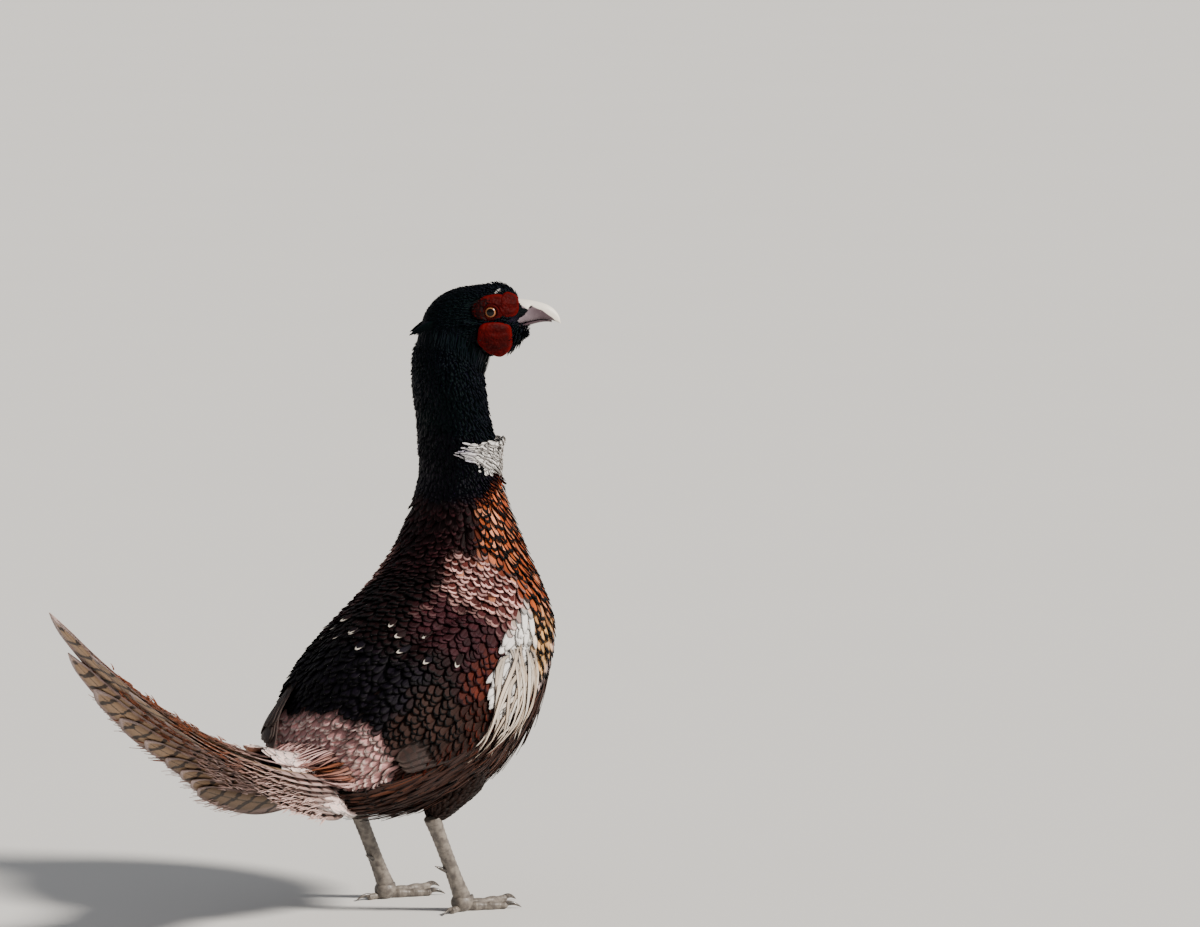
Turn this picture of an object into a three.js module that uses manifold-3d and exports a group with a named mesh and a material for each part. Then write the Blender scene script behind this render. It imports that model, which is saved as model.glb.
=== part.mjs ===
// Adult male common pheasant standing alert, life size, in millimetres with +Z up.
// Its breast faces +X and its left side +Y. The head is turned to its right and the tail swings a little
// to the right too. The soles are at z = 0, and the finished group is moved so that the origin lies under
// the middle of its bounding box.

import * as THREE from "three";
import { mergeVertices } from "three/addons/utils/BufferGeometryUtils.js";
import Module from "manifold-3d";

const wasm = await Module();
wasm.setup();

const touchGap = 0.35; // left between two pieces that touch
const degree = Math.PI / 180;
const up = new THREE.Vector3(0, 0, 1);

// Trunk and neck, from the tail root to the top of the neck. Each row is one cross-section: where it meets
// the back line and the belly line, both as [x, z], and its half-width.
const trunkSections = [
  { back: [-94, 110], belly: [-89, 97], halfWidth: 12 },
  { back: [-87, 126], belly: [-74, 84], halfWidth: 37 },
  { back: [-76, 148], belly: [-46, 75], halfWidth: 53 },
  { back: [-57, 179], belly: [4, 74], halfWidth: 64 },
  { back: [-31, 206], belly: [60, 86], halfWidth: 68 },
  { back: [-5, 225], belly: [103, 117], halfWidth: 69 },
  { back: [15, 240], belly: [126, 156], halfWidth: 66 },
  { back: [30, 257], belly: [129, 198], halfWidth: 57 },
  { back: [39, 280], belly: [114, 240], halfWidth: 44 },
  { back: [43, 308], belly: [100, 280], halfWidth: 32 },
  { back: [40, 338], belly: [91, 316], halfWidth: 27 },
  { back: [34, 368], belly: [83, 350], halfWidth: 25.5 },
  { back: [34, 391], belly: [79, 380], halfWidth: 23 },
  { back: [44, 409], belly: [72, 404], halfWidth: 14 },
  { back: [52, 417], belly: [60, 416], halfWidth: 4 },
];
const trunkSquareness = 2.15; // exponent of the cross-section, 2 is an ellipse
const trunkRings = 40;
const trunkSides = 24;
const collarCut = { x: 69, z: 309, lean: -14 * degree }; // neck from trunk, at the white collar

// Head, in its own frame: forward, up and side of headCentre.
const headCentre = new THREE.Vector3(66, -12.5, 411);
const headYaw = -48 * degree;
const headSections = [
  { forward: -34, top: -3, bottom: -9, halfWidth: 3 },
  { forward: -30, top: 7, bottom: -20, halfWidth: 13 },
  { forward: -22, top: 16, bottom: -26, halfWidth: 18 },
  { forward: -10, top: 22, bottom: -28, halfWidth: 20.5 },
  { forward: 2, top: 24.2, bottom: -27, halfWidth: 20 },
  { forward: 13, top: 25.3, bottom: -25.5, halfWidth: 17.5 },
  { forward: 22, top: 25.3, bottom: -23.5, halfWidth: 14 },
  { forward: 28.5, top: 23, bottom: -20.5, halfWidth: 10.2 },
  { forward: 33, top: 18, bottom: -16.5, halfWidth: 7.2 },
  { forward: 37, top: 8, bottom: -12.5, halfWidth: 4.6 },
  { forward: 40.5, top: -4, bottom: -8.5, halfWidth: 2.2 },
];
const headRings = 19;
const headSides = 18;
const headCut = { forward: -18, height: -19, lean: 14 * degree }; // head from neck
const eyeAt = { forward: 14.5, height: 7.2, radius: 5.4, showing: 3.3 };

// Bill, in the head's frame.
const bill = {
  root: 27,
  tip: 62,
  topRise: 15.4,
  tipDrop: -2.2,
  gapeHeight: -3.6,
  gapeArch: 2.8,
  halfWidth: 7,
};
const underBill = { root: 27, tip: 57, depth: 4.2, halfWidth: 5.6 };

// Bare red face of each side, in the head's frame: two soft lobes and the lid ring.
const faceLobes = [
  { forward: 14, height: 9.3, halfLength: 13, halfHeight: 10.1, proud: 2.1 },
  { forward: 26, height: 11.6, halfLength: 7.9, halfHeight: 8.4, proud: 2.8 },
  { forward: 17.2, height: -11, halfLength: 12.2, halfHeight: 12.4, proud: 4.2 },
];
const lid = { radius: 4.9, thickness: 1.1, proud: 1.9 };

// Tail: nine feathers a side, the middle pair longest and on top, the others stepping down and out. Towards
// their tips they draw in to the middle line again.
const tail = {
  root: new THREE.Vector3(-78, 0, 114),
  yaw: -18 * degree,
  startRise: 8 * degree,
  endRise: 36 * degree,
  lengths: [415, 368, 316, 268, 226, 190, 164, 146, 134],
  halfWidth: 15,
  fan: 0.4 * degree,
  drawnIn: 0.8,
  layerStep: 1.9,
  sideStep: 0.9,
  firstSlope: 14 * degree,
  slopeStep: 3.2 * degree,
  thickness: 1.3,
};

// Wing, laid on the trunk's side. A place on it is [down, across]: down is 0 at the wrist and 1 at the tip,
// and across is -1 at the edge by the back and 1 at the edge by the flank. Each tier of feathers runs between
// two such places, spread across the wing, and shorter is how much less far down its last feather ends.
const wing = {
  wrist: { along: 0.53, around: 92 },
  tip: { along: 0.085, around: 58 },
  halfAround: { wrist: 20, middle: 37, tip: 22 },
  tipFlare: 9,
  pad: { down: 0.37, halfDown: 0.37, halfAcross: 0.92, thickness: 4.6, sunk: 3 },
  roll: 11 * degree,
  thickness: 1.3,
};
const rootLift = 0.8; // height of a wing feather's root over the trunk, inside the pad
const rootShare = 0.2; // of a wing feather's length, in which it climbs to its full height
const wingTiers = [
  // primaries, secondaries, greater coverts, median coverts
  { count: 5, from: [0.58, -0.1], to: [1, -0.3], spread: [0.5, 0.8], shorter: 0.14, half: 9, lift: [2.6, 3] },
  { count: 6, from: [0.5, 0], to: [0.87, 0], spread: [1.45, 1.6], shorter: 0.18, half: 13, lift: [4.6, 5.6] },
  { count: 5, from: [0.33, 0], to: [0.6, 0], spread: [1.4, 1.6], shorter: 0.05, half: 15, lift: [6.4, 8.2] },
  { count: 5, from: [0.16, 0], to: [0.37, 0], spread: [1.2, 1.5], shorter: 0, half: 12.5, lift: [6.4, 9.6] },
];

// Legs.
const leg = {
  side: 37,
  knee: [38, 112],
  ankle: [0, 70],
  footJoint: [30, 10],
  thighRadius: 25,
  ankleRadius: 6.2,
  shankRadius: 4.6,
  scutes: 9,
  spurLength: 11,
};
const toes = [
  { name: "middle", length: 46, turn: 0, radius: 4.1 },
  { name: "inner", length: 33, turn: 34, radius: 3.7 },
  { name: "outer", length: 34, turn: -32, radius: 3.7 },
  { name: "back", length: 15, turn: 168, radius: 3.2 },
];
const toeTaper = 0.72; // a toe's thickness at its end, as a share of that at its root
const pressed = 0.88; // height of a toe's middle over the floor, in its radii: its underside is flattened
const clawLength = 10;

// Materials.
function material(color, roughness, metalness = 0) {
  return new THREE.MeshStandardMaterial({ color, roughness, metalness });
}
const darkGloss = material(0x0c1a18, 0.35, 0.2);
const copper = material(0x8a3a14, 0.55);
const redSkin = material(0x9e0f12, 0.6);
const horn = material(0xd8d0c4, 0.4);
const clawHorn = material(0x3b3431, 0.45);
const eyeGlass = material(0xb06a28, 0.08);
const wingBrown = material(0x5b4038, 0.6);
const tailTan = material(0xa9835f, 0.65);
const thighBrown = material(0x2c1b14, 0.8);
const legGrey = material(0x6b655f, 0.55);

// Solids and meshes.

// A closed geometry as a solid. One whose faces point inwards is turned inside out.
function solid(geometry) {
  const bare = new THREE.BufferGeometry().setAttribute("position", geometry.getAttribute("position"));
  if (geometry.index) bare.setIndex(geometry.index);
  const merged = mergeVertices(bare, 1e-4);
  const vertProperties = merged.attributes.position.array;
  const triVerts = new Uint32Array(merged.index.array);
  const made = new wasm.Manifold(new wasm.Mesh({ numProp: 3, vertProperties, triVerts }));
  if (made.volume() > 0) return made;
  for (let k = 0; k < triVerts.length; k += 3) {
    const first = triVerts[k];
    triVerts[k] = triVerts[k + 1];
    triVerts[k + 1] = first;
  }
  return new wasm.Manifold(new wasm.Mesh({ numProp: 3, vertProperties, triVerts }));
}

function join(pieces) {
  return pieces.reduce((whole, piece) => whole.add(piece));
}

function largest(whole) {
  return whole.decompose().sort((a, b) => b.volume() - a.volume())[0];
}

function named(name, whole, finish) {
  const data = largest(whole).getMesh();
  const geometry = new THREE.BufferGeometry();
  geometry.setAttribute("position", new THREE.BufferAttribute(data.vertProperties, 3));
  geometry.setIndex(new THREE.BufferAttribute(data.triVerts, 1));
  geometry.computeVertexNormals();
  const mesh = new THREE.Mesh(geometry, finish);
  mesh.name = name;
  return mesh;
}

// A closed skin over a grid of rings and sides: at(t, angle) gives a point, and both ends close to a point.
function skin(rings, sides, at) {
  const position = [];
  const index = [];
  for (let i = 1; i < rings; i++)
    for (let j = 0; j < sides; j++) position.push(...at(i / rings, (j / sides) * 2 * Math.PI).toArray());
  const first = position.length / 3;
  position.push(...at(0, 0).toArray(), ...at(1, 0).toArray());
  for (let j = 0; j < sides; j++) {
    const next = (j + 1) % sides;
    index.push(first, next, j);
    for (let i = 0; i < rings - 2; i++) {
      const a = i * sides + j;
      const b = i * sides + next;
      index.push(a, b, a + sides, b, b + sides, a + sides);
    }
    const last = (rings - 2) * sides;
    index.push(first + 1, last + j, last + next);
  }
  const geometry = new THREE.BufferGeometry();
  geometry.setAttribute("position", new THREE.Float32BufferAttribute(position, 3));
  return solid(geometry.setIndex(index));
}

function block(width, depth, height, place, turn = new THREE.Euler()) {
  const geometry = new THREE.BoxGeometry(width, depth, height);
  geometry.applyMatrix4(new THREE.Matrix4().makeRotationFromEuler(turn));
  geometry.translate(place.x, place.y, place.z);
  return solid(geometry);
}

function curveThrough(points) {
  return new THREE.CatmullRomCurve3(points, false, "catmullrom", 0.5);
}

// Cosine and sine of a rounded-square section.
function squared(angle, exponent) {
  const power = 2 / exponent;
  const c = Math.cos(angle);
  const s = Math.sin(angle);
  return [Math.sign(c) * Math.abs(c) ** power, Math.sign(s) * Math.abs(s) ** power];
}

// Trunk and neck as one surface: along is 0 at the tail root and 1 at the top, angle is from the back line
// towards the left.
const backLine = curveThrough(trunkSections.map((row) => new THREE.Vector3(row.back[0], 0, row.back[1])));
const bellyLine = curveThrough(trunkSections.map((row) => new THREE.Vector3(row.belly[0], 0, row.belly[1])));
const widthLine = curveThrough(trunkSections.map((row) => new THREE.Vector3(row.halfWidth, 0, 0)));

function trunkPoint(along, angle, grow = 0) {
  const back = backLine.getPoint(along);
  const belly = bellyLine.getPoint(along);
  const middle = back.clone().add(belly).multiplyScalar(0.5);
  const half = back.clone().sub(middle);
  const [c, s] = squared(angle, trunkSquareness);
  const stretch = 1 + grow / half.length();
  return new THREE.Vector3(
    middle.x + half.x * stretch * c,
    (widthLine.getPoint(along).x + grow) * s,
    middle.z + half.z * stretch * c,
  );
}

function outward(surface, along, angle) {
  const small = 1e-3;
  const forward = surface(along + small, angle).sub(surface(along - small, angle));
  const round = surface(along, angle + small * 5).sub(surface(along, angle - small * 5));
  return forward.cross(round).normalize();
}

function trunkSkin(grow) {
  return skin(trunkRings, trunkSides, (t, angle) => {
    const along = 0.5 - 0.5 * Math.cos(Math.PI * t) * (0.35 + 0.65 * Math.abs(Math.cos(Math.PI * t)) ** 0.2);
    const point = trunkPoint(THREE.MathUtils.clamp(along, 0, 1), angle, grow);
    if (t > 0 && t < 1) return point;
    const end = t === 0 ? -1 : 1;
    const back = backLine.getPoint(t);
    const middle = back.clone().add(bellyLine.getPoint(t)).multiplyScalar(0.5);
    const inside = t - end * 0.02;
    const before = backLine.getPoint(inside).add(bellyLine.getPoint(inside)).multiplyScalar(0.5);
    return middle.add(middle.clone().sub(before).normalize().multiplyScalar(2 + grow));
  });
}

// Head frame.
const headForward = new THREE.Vector3(Math.cos(headYaw), Math.sin(headYaw), 0);
const headSide = new THREE.Vector3(-Math.sin(headYaw), Math.cos(headYaw), 0); // the bird's left
function onHead(forward, side, height) {
  return headCentre
    .clone()
    .addScaledVector(headForward, forward)
    .addScaledVector(headSide, side)
    .addScaledVector(up, height);
}

const headLine = curveThrough(headSections.map((row) => new THREE.Vector3(row.forward, row.top, row.bottom)));
const headWidth = curveThrough(headSections.map((row) => new THREE.Vector3(row.halfWidth, 0, 0)));

// Point of the head's surface: along is 0 at the nape and 1 at the forehead, angle is from the crown towards
// the left.
function headPoint(along, angle, grow = 0) {
  const line = headLine.getPoint(along);
  const [c, s] = squared(angle, 2.2);
  const middle = (line.y + line.z) / 2;
  const half = (line.y - line.z) / 2 + grow;
  return onHead(line.x, (headWidth.getPoint(along).x + grow) * s, middle + half * c);
}

function headSkin(grow) {
  return skin(headRings, headSides, (t, angle) => {
    const along = 0.5 - 0.5 * Math.cos(Math.PI * t);
    if (t > 0 && t < 1) return headPoint(along, angle, grow);
    const line = headLine.getPoint(t);
    return onHead(line.x + (t === 0 ? -1 : 1) * (0.8 + grow), 0, (line.y + line.z) / 2);
  });
}

// How far out the head's side is at forward, height. Past mostSlope of the way up or down it is held.
function headSideAt(forward, height, mostSlope = 0.86) {
  let along = 0.5;
  let low = 0;
  let high = 1;
  for (let k = 0; k < 24; k++) {
    along = (low + high) / 2;
    if (headLine.getPoint(along).x < forward) low = along;
    else high = along;
  }
  const line = headLine.getPoint(along);
  const share = (height - (line.y + line.z) / 2) / ((line.y - line.z) / 2);
  const c = THREE.MathUtils.clamp(share, -mostSlope, mostSlope);
  return headWidth.getPoint(along).x * (1 - Math.abs(c) ** 2.2) ** (1 / 2.2);
}

// A feather: path(t) gives the shaft's point and the direction that its upper face looks, halfWidth(t) its
// half-width. Upper and lower faces are split into triangles alike.
function vane(path, halfWidth, thickness, roll, steps = 7) {
  const position = [];
  const index = [];
  const lookAhead = 0.01;
  for (let i = 0; i <= steps; i++) {
    const t = i / steps;
    const { point, face } = path(t);
    const ahead = path(Math.min(t + lookAhead, 1)).point;
    const behind = path(Math.max(t - lookAhead, 0)).point;
    const along = ahead.sub(behind).normalize();
    const across = face.clone().cross(along).normalize().applyAxisAngle(along, roll);
    const lift = along.clone().cross(across).normalize();
    const half = Math.max(halfWidth(t), 0.35);
    const body = thickness * (0.45 + 0.55 * (1 - t));
    const camber = (half * half) / 90;
    const edge = (sign, level) =>
      point.clone().addScaledVector(across, sign * half).addScaledVector(lift, level * body * 0.22 - camber);
    position.push(
      ...edge(1, 1).toArray(),
      ...point.clone().addScaledVector(lift, body / 2).toArray(),
      ...edge(-1, 1).toArray(),
      ...edge(-1, -1).toArray(),
      ...point.clone().addScaledVector(lift, -body / 2).toArray(),
      ...edge(1, -1).toArray(),
    );
  }
  const round = 6;
  const quad = (a, b, c, d, mirrored) => index.push(a, b, mirrored ? d : c, mirrored ? b : a, c, d);
  for (let i = 0; i < steps; i++)
    for (let j = 0; j < round; j++) {
      const next = (j + 1) % round;
      quad(i * round + j, i * round + next, (i + 1) * round + next, (i + 1) * round + j, j === 0 || j === 3);
    }
  for (const [first, flip] of [[0, false], [steps * round, true]])
    for (const [a, b, c] of [[0, 5, 4], [0, 4, 1], [1, 4, 3], [1, 3, 2]])
      index.push(first + a, first + (flip ? c : b), first + (flip ? b : c));
  const geometry = new THREE.BufferGeometry();
  geometry.setAttribute("position", new THREE.Float32BufferAttribute(position, 3));
  return solid(geometry.setIndex(index));
}

// Half-width of a feather along its length: quick to widen, long to taper.
function featherWidth(most, widestAt, tipShare) {
  return (t) => {
    const rise = Math.sin((Math.min(t / widestAt, 1) * Math.PI) / 2) ** 0.6;
    const fall = t > widestAt ? (t - widestAt) / (1 - widestAt) : 0;
    const tipRound = t > 0.93 ? 1 - (t - 0.93) * 9 : 1;
    return most * (0.35 + 0.65 * rise) * (1 - (1 - tipShare) * fall ** 1.6) * tipRound;
  };
}

// Tail.

function tailPath(pair, side, slope, half) {
  const length = tail.lengths[pair];
  const bend = (tail.endRise - tail.startRise) / tail.lengths[0];
  const yaw = Math.PI - tail.yaw - side * pair * tail.fan;
  const flat = new THREE.Vector3(Math.cos(yaw), Math.sin(yaw), 0);
  const across = new THREE.Vector3(-flat.y, flat.x, 0).multiplyScalar(-side);
  const most = pair ? half * Math.cos(slope) + tail.sideStep * pair : 3;
  return (t) => {
    const out = most * (1 - tail.drawnIn * ((t * length) / tail.lengths[0]) ** 2);
    const level = pair ? -tail.layerStep * (pair + 0.5) - out * Math.tan(slope) : (side * tail.layerStep) / 2;
    const start = tail.root.clone().addScaledVector(across, out).addScaledVector(up, level);
    const rise = tail.startRise + bend * t * length;
    const forward = (Math.sin(rise) - Math.sin(tail.startRise)) / bend;
    const lift = (Math.cos(tail.startRise) - Math.cos(rise)) / bend;
    return {
      point: start.addScaledVector(flat, forward).addScaledVector(up, lift),
      face: up.clone().multiplyScalar(Math.cos(rise)).addScaledVector(flat, -Math.sin(rise)),
    };
  };
}

function tailSolid(trunkRoom) {
  const pieces = [];
  const core = skin(8, 12, (t, angle) => {
    const flat = new THREE.Vector3(Math.cos(Math.PI - tail.yaw), Math.sin(Math.PI - tail.yaw), 0);
    const across = new THREE.Vector3(-flat.y, flat.x, 0);
    const radius = Math.sin(Math.PI * t) ** 0.55;
    return tail.root
      .clone()
      .addScaledVector(flat, -14 + 52 * t)
      .addScaledVector(across, 16 * radius * Math.sin(angle))
      .addScaledVector(up, -6 + 11 * radius * Math.cos(angle) + 6 * t);
  });
  pieces.push(core);
  tail.lengths.forEach((_, pair) => {
    const half = tail.halfWidth * (pair < 4 ? 1 : 0.9);
    const slope = pair ? tail.firstSlope + tail.slopeStep * (pair - 1) : 4 * degree;
    for (const side of [1, -1]) {
      const width = featherWidth(half, 0.3, pair < 2 ? 0.22 : 0.4);
      pieces.push(vane(tailPath(pair, side, slope, half), width, tail.thickness, side * slope));
    }
  });
  return join(pieces).subtract(trunkRoom);
}

// Wing.

function wingPlace(side, down, across, lift) {
  const { wrist, tip, halfAround } = wing;
  const along = THREE.MathUtils.lerp(wrist.along, tip.along, down);
  const middle = THREE.MathUtils.lerp(wrist.around, tip.around, down ** 1.2);
  const ends = THREE.MathUtils.lerp(halfAround.wrist, halfAround.tip, down);
  const belly = Math.sin(Math.PI * THREE.MathUtils.clamp(down, 0, 1)) ** 0.8;
  const half = ends + (halfAround.middle - ends) * belly;
  const angle = side * (middle + across * half) * degree;
  const face = outward((a, b) => trunkPoint(a, b), along, angle);
  const flare = wing.tipFlare * Math.max(0, (down - 0.5) / 0.5) ** 1.5;
  return { point: trunkPoint(along, angle).addScaledVector(face, lift + flare), face };
}

// A rounded pad laid on a surface: place(x, y, lift) maps the unit disc, and the pad bulges out by thickness.
// It is flat on top and falls off at its rim.
function laidPad(place, thickness, sunk, detail) {
  const ball = new THREE.SphereGeometry(1, detail, Math.round(detail * 0.6));
  const at = ball.getAttribute("position");
  for (let i = 0; i < at.count; i++) {
    const bulge = Math.sign(at.getZ(i)) * Math.abs(at.getZ(i)) ** 0.5;
    const lift = bulge * (bulge > 0 ? thickness : sunk);
    at.setXYZ(i, ...place(at.getX(i), at.getY(i), lift).toArray());
  }
  return solid(ball);
}

function wingSolid(side, trunkRoom) {
  const { down, halfDown, halfAcross, thickness, sunk } = wing.pad;
  const padPlace = (x, y, lift) => wingPlace(side, down + halfDown * x, halfAcross * y, lift).point;
  const pieces = [laidPad(padPlace, thickness, sunk, 11)];
  const between = THREE.MathUtils.lerp;
  for (const { count, from, to, spread, shorter, half, lift } of wingTiers)
    for (let n = 0; n < count; n++) {
      const share = n / (count - 1);
      const start = [from[0], from[1] + spread[0] * (share - 0.5)];
      const end = [to[0] - shorter * share, to[1] + spread[1] * (share - 0.5)];
      const path = (t) => {
        const rooted = (lift[0] - rootLift) * Math.max(0, 1 - t / rootShare);
        return wingPlace(
          side,
          between(start[0], end[0], t),
          between(start[1], end[1], t),
          between(lift[0], lift[1], t) - rooted,
        );
      };
      pieces.push(vane(path, featherWidth(half, 0.45, 0.5), wing.thickness, -side * wing.roll, 4));
    }
  return join(pieces).subtract(trunkRoom);
}

// Head pieces.

function ballAt(radius, place, stretch = new THREE.Vector3(1, 1, 1), detail = 14) {
  const geometry = new THREE.SphereGeometry(radius, detail, Math.round(detail * 0.6));
  geometry.scale(stretch.x, stretch.y, stretch.z);
  geometry.rotateZ(headYaw);
  geometry.translate(place.x, place.y, place.z);
  return solid(geometry);
}

function eyeCentre(side) {
  const depth = headSideAt(eyeAt.forward, eyeAt.height) - eyeAt.radius + eyeAt.showing;
  return onHead(eyeAt.forward, side * depth, eyeAt.height);
}

function lidRing(side) {
  const ring = new THREE.TorusGeometry(lid.radius, lid.thickness, 5, 14);
  ring.rotateX(Math.PI / 2);
  ring.rotateZ(headYaw);
  const out = headSideAt(eyeAt.forward, eyeAt.height) + lid.proud;
  const place = onHead(eyeAt.forward, side * out, eyeAt.height);
  ring.translate(place.x, place.y, place.z);
  return solid(ring);
}

function faceSolid(side, headRoom, eyeRoom) {
  const pieces = faceLobes.map((lobe) => {
    const place = (x, y, lift) => {
      const forward = lobe.forward + lobe.halfLength * x;
      const height = lobe.height + lobe.halfHeight * y;
      return onHead(forward, side * (headSideAt(forward, height) + lift), height);
    };
    return laidPad(place, lobe.proud, 3.5, 10);
  });
  pieces.push(lidRing(side));
  return join(pieces).subtract(headRoom).subtract(eyeRoom);
}

// A bill half is round on its outer side and flat where the two halves meet.
const roundEdge = 2;
const flatEdge = 4;

// Height of the cutting edge, arched between the gape and the tip.
function gapeLine(t) {
  return THREE.MathUtils.lerp(bill.gapeHeight, bill.tipDrop, t) + bill.gapeArch * Math.sin(Math.PI * t);
}

function billPoint(share, angle) {
  const t = Math.sin((share * Math.PI) / 2);
  const forward = THREE.MathUtils.lerp(bill.root, bill.tip, t);
  const bottom = gapeLine(t);
  const top = THREE.MathUtils.lerp(bottom + 1, bill.topRise, Math.sqrt(1 - t * t));
  const half = bill.halfWidth * (1 - t) ** 0.55 + 0.6;
  const [c, s] = squared(angle, Math.cos(angle) > 0 ? roundEdge : flatEdge);
  return onHead(forward, half * s, (top + bottom) / 2 + ((top - bottom) / 2) * c);
}

function upperBill(headRoom) {
  const shell = skin(11, 12, (t, angle) => {
    if (t === 0) return onHead(bill.root - 1, 0, 3);
    if (t === 1) return onHead(bill.tip + 0.8, 0, bill.tipDrop - 0.8);
    return billPoint(t, angle);
  });
  const nostrils = [1, -1].map((side) =>
    ballAt(1, onHead(bill.root + 11, side * 5.9, 4.6), new THREE.Vector3(3, 1.5, 1.1), 8),
  );
  return shell.subtract(join(nostrils)).subtract(headRoom);
}

function lowerBill(headRoom) {
  const shell = skin(9, 12, (t, angle) => {
    const forward = THREE.MathUtils.lerp(underBill.root, underBill.tip, t);
    const top = gapeLine((forward - bill.root) / (bill.tip - bill.root)) - touchGap * 1.5;
    const depth = underBill.depth * (1 - 0.6 * t ** 1.4);
    const half = underBill.halfWidth * (1 - t) ** 0.55 + 0.4;
    const [c, s] = squared(angle, Math.cos(angle) > 0 ? flatEdge : roundEdge);
    if (t === 0 || t === 1) return onHead(forward, 0, top - depth / 2);
    return onHead(forward, half * s, top - depth / 2 + (depth / 2) * c);
  });
  return shell.subtract(headRoom);
}

function earTuft(side, headRoom) {
  const locks = [-1, 0, 1].map((n) => {
    const root = onHead(-23, side * (13 + n), -3.5 + 1.6 * n);
    const lean = new THREE.Vector3().addScaledVector(headForward, -1).addScaledVector(up, -0.2 + 0.05 * n);
    lean.addScaledVector(headSide, side * 0.1).normalize();
    const path = (t) => ({
      point: root.clone().addScaledVector(lean, (20 - 2 * Math.abs(n)) * t).addScaledVector(up, -1.5 * t * t),
      face: up.clone().addScaledVector(headSide, side * 0.8).normalize(),
    });
    return vane(path, (t) => 3.4 * (1 - 0.85 * t), 2.8, 0, 4);
  });
  return join(locks).subtract(headRoom);
}

// Legs.

function limb(from, to, radiusAt, rings, sides, grow = 0) {
  const axis = to.clone().sub(from);
  const reach = axis.length();
  axis.normalize();
  const across = new THREE.Vector3(0, 1, 0).cross(axis).normalize();
  const sideways = axis.clone().cross(across).normalize();
  return skin(rings, sides, (t, angle) => {
    const end = t === 0 || t === 1;
    const radius = end ? 0 : radiusAt(t) + grow;
    return from
      .clone()
      .addScaledVector(axis, reach * t + (t === 0 ? -grow : 0) + (t === 1 ? grow : 0))
      .addScaledVector(across, radius * Math.cos(angle))
      .addScaledVector(sideways, radius * Math.sin(angle));
  });
}

const legPoint = (side, [x, z]) => new THREE.Vector3(x, side * leg.side, z);

function thighSolid(side, grow = 0) {
  const radius = (t) => {
    const taper = THREE.MathUtils.lerp(leg.ankleRadius, leg.thighRadius, Math.max(0, 1 - t * 1.04) ** 0.8);
    return taper * Math.min(1, 7 * t + 0.5, 9 * (1 - t) + 0.6);
  };
  return limb(legPoint(side, leg.knee), legPoint(side, leg.ankle), radius, 12, 14, grow);
}

function shankSolid(side, grow = 0) {
  const scuteRise = (t) => 0.55 * (1 - ((t * leg.scutes) % 1));
  const radius = (t) => leg.shankRadius + 1.3 * Math.abs(2 * t - 1) ** 3 + (grow ? 0.55 : scuteRise(t));
  return limb(legPoint(side, leg.ankle), legPoint(side, leg.footJoint), radius, leg.scutes * 2 + 1, 9, grow);
}

function toePath(side, toe) {
  const turn = side * toe.turn * degree;
  return new THREE.Vector3(Math.cos(turn), Math.sin(turn), 0);
}

function toeSolid(side, toe, grow = 0) {
  const from = legPoint(side, leg.footJoint).setZ(toe.radius * pressed);
  const to = from.clone().addScaledVector(toePath(side, toe), toe.length);
  to.setZ(toe.radius * toeTaper * pressed);
  const knuckles = toe.name === "back" ? 1 : 3;
  const radius = (t) => {
    const swell = 0.9 + 0.1 * Math.cos(t * knuckles * 2 * Math.PI);
    return toe.radius * (1 - (1 - toeTaper) * t) * swell * Math.min(1, 12 * (1 - t) + 0.35);
  };
  return limb(from, to, radius, toe.name === "back" ? 5 : 8, 8, grow);
}

function footSolid(side, shankRoom) {
  const pad = new THREE.SphereGeometry(8, 10, 7);
  pad.scale(1, 0.95, 0.85);
  const place = legPoint(side, leg.footJoint);
  pad.translate(place.x, place.y, 6.2);
  const below = block(300, 300, 20, new THREE.Vector3(0, 0, -10));
  return join([solid(pad), ...toes.map((toe) => toeSolid(side, toe))]).subtract(below).subtract(shankRoom);
}

function clawSolid(side, toe) {
  const from = legPoint(side, leg.footJoint).setZ(toe.radius * 0.75);
  const forward = toePath(side, toe);
  from.addScaledVector(forward, toe.length - 3.5);
  const thickness = toe.radius * 0.58;
  const shape = skin(6, 7, (t, angle) => {
    const radius = t === 0 || t === 1 ? 0 : thickness * (1 - t) ** 0.6;
    const across = new THREE.Vector3(-forward.y, forward.x, 0);
    return from
      .clone()
      .addScaledVector(forward, (clawLength + 3.5) * t)
      .addScaledVector(across, radius * 0.75 * Math.cos(angle))
      .addScaledVector(up, radius * Math.sin(angle) + 1.5 * Math.sin(Math.PI * t))
      .addScaledVector(up, -(toe.radius * 0.75 - 0.7) * t * t);
  });
  const below = block(300, 300, 20, new THREE.Vector3(0, 0, -9.9));
  return shape.subtract(toeSolid(side, toe, touchGap)).subtract(below);
}

function spurSolid(side) {
  const share = 0.68;
  const ankle = legPoint(side, leg.ankle);
  const from = ankle.clone().lerp(legPoint(side, leg.footJoint), share);
  const to = from.clone().add(new THREE.Vector3(-leg.spurLength - 3, -side * 3.5, 3.5));
  const cone = limb(from, to, (t) => 2.8 * (1 - t) + 0.3, 5, 8);
  return cone.subtract(shankSolid(side, touchGap));
}

// Assembly.

const pheasant = new THREE.Group();
pheasant.name = "common_pheasant";
const add = (name, whole, finish) => pheasant.add(named(name, whole, finish));

const flesh = trunkSkin(0).add(headSkin(0));
const trunkRoom = trunkSkin(touchGap + 0.15);
const headRoom = headSkin(touchGap + 0.1).add(trunkSkin(touchGap + 0.1));
const wide = 900;

// A flat cut through place, tilted and turned: everything above it, and the thin gap along it.
function cutAt(place, lean, turn) {
  const tilt = new THREE.Euler(0, lean, turn, "ZYX");
  const rise = new THREE.Vector3(0, 0, wide / 2).applyEuler(tilt);
  return {
    above: block(wide, wide, wide, place.clone().add(rise), tilt),
    gap: block(wide, wide, touchGap, place, tilt),
  };
}

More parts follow.
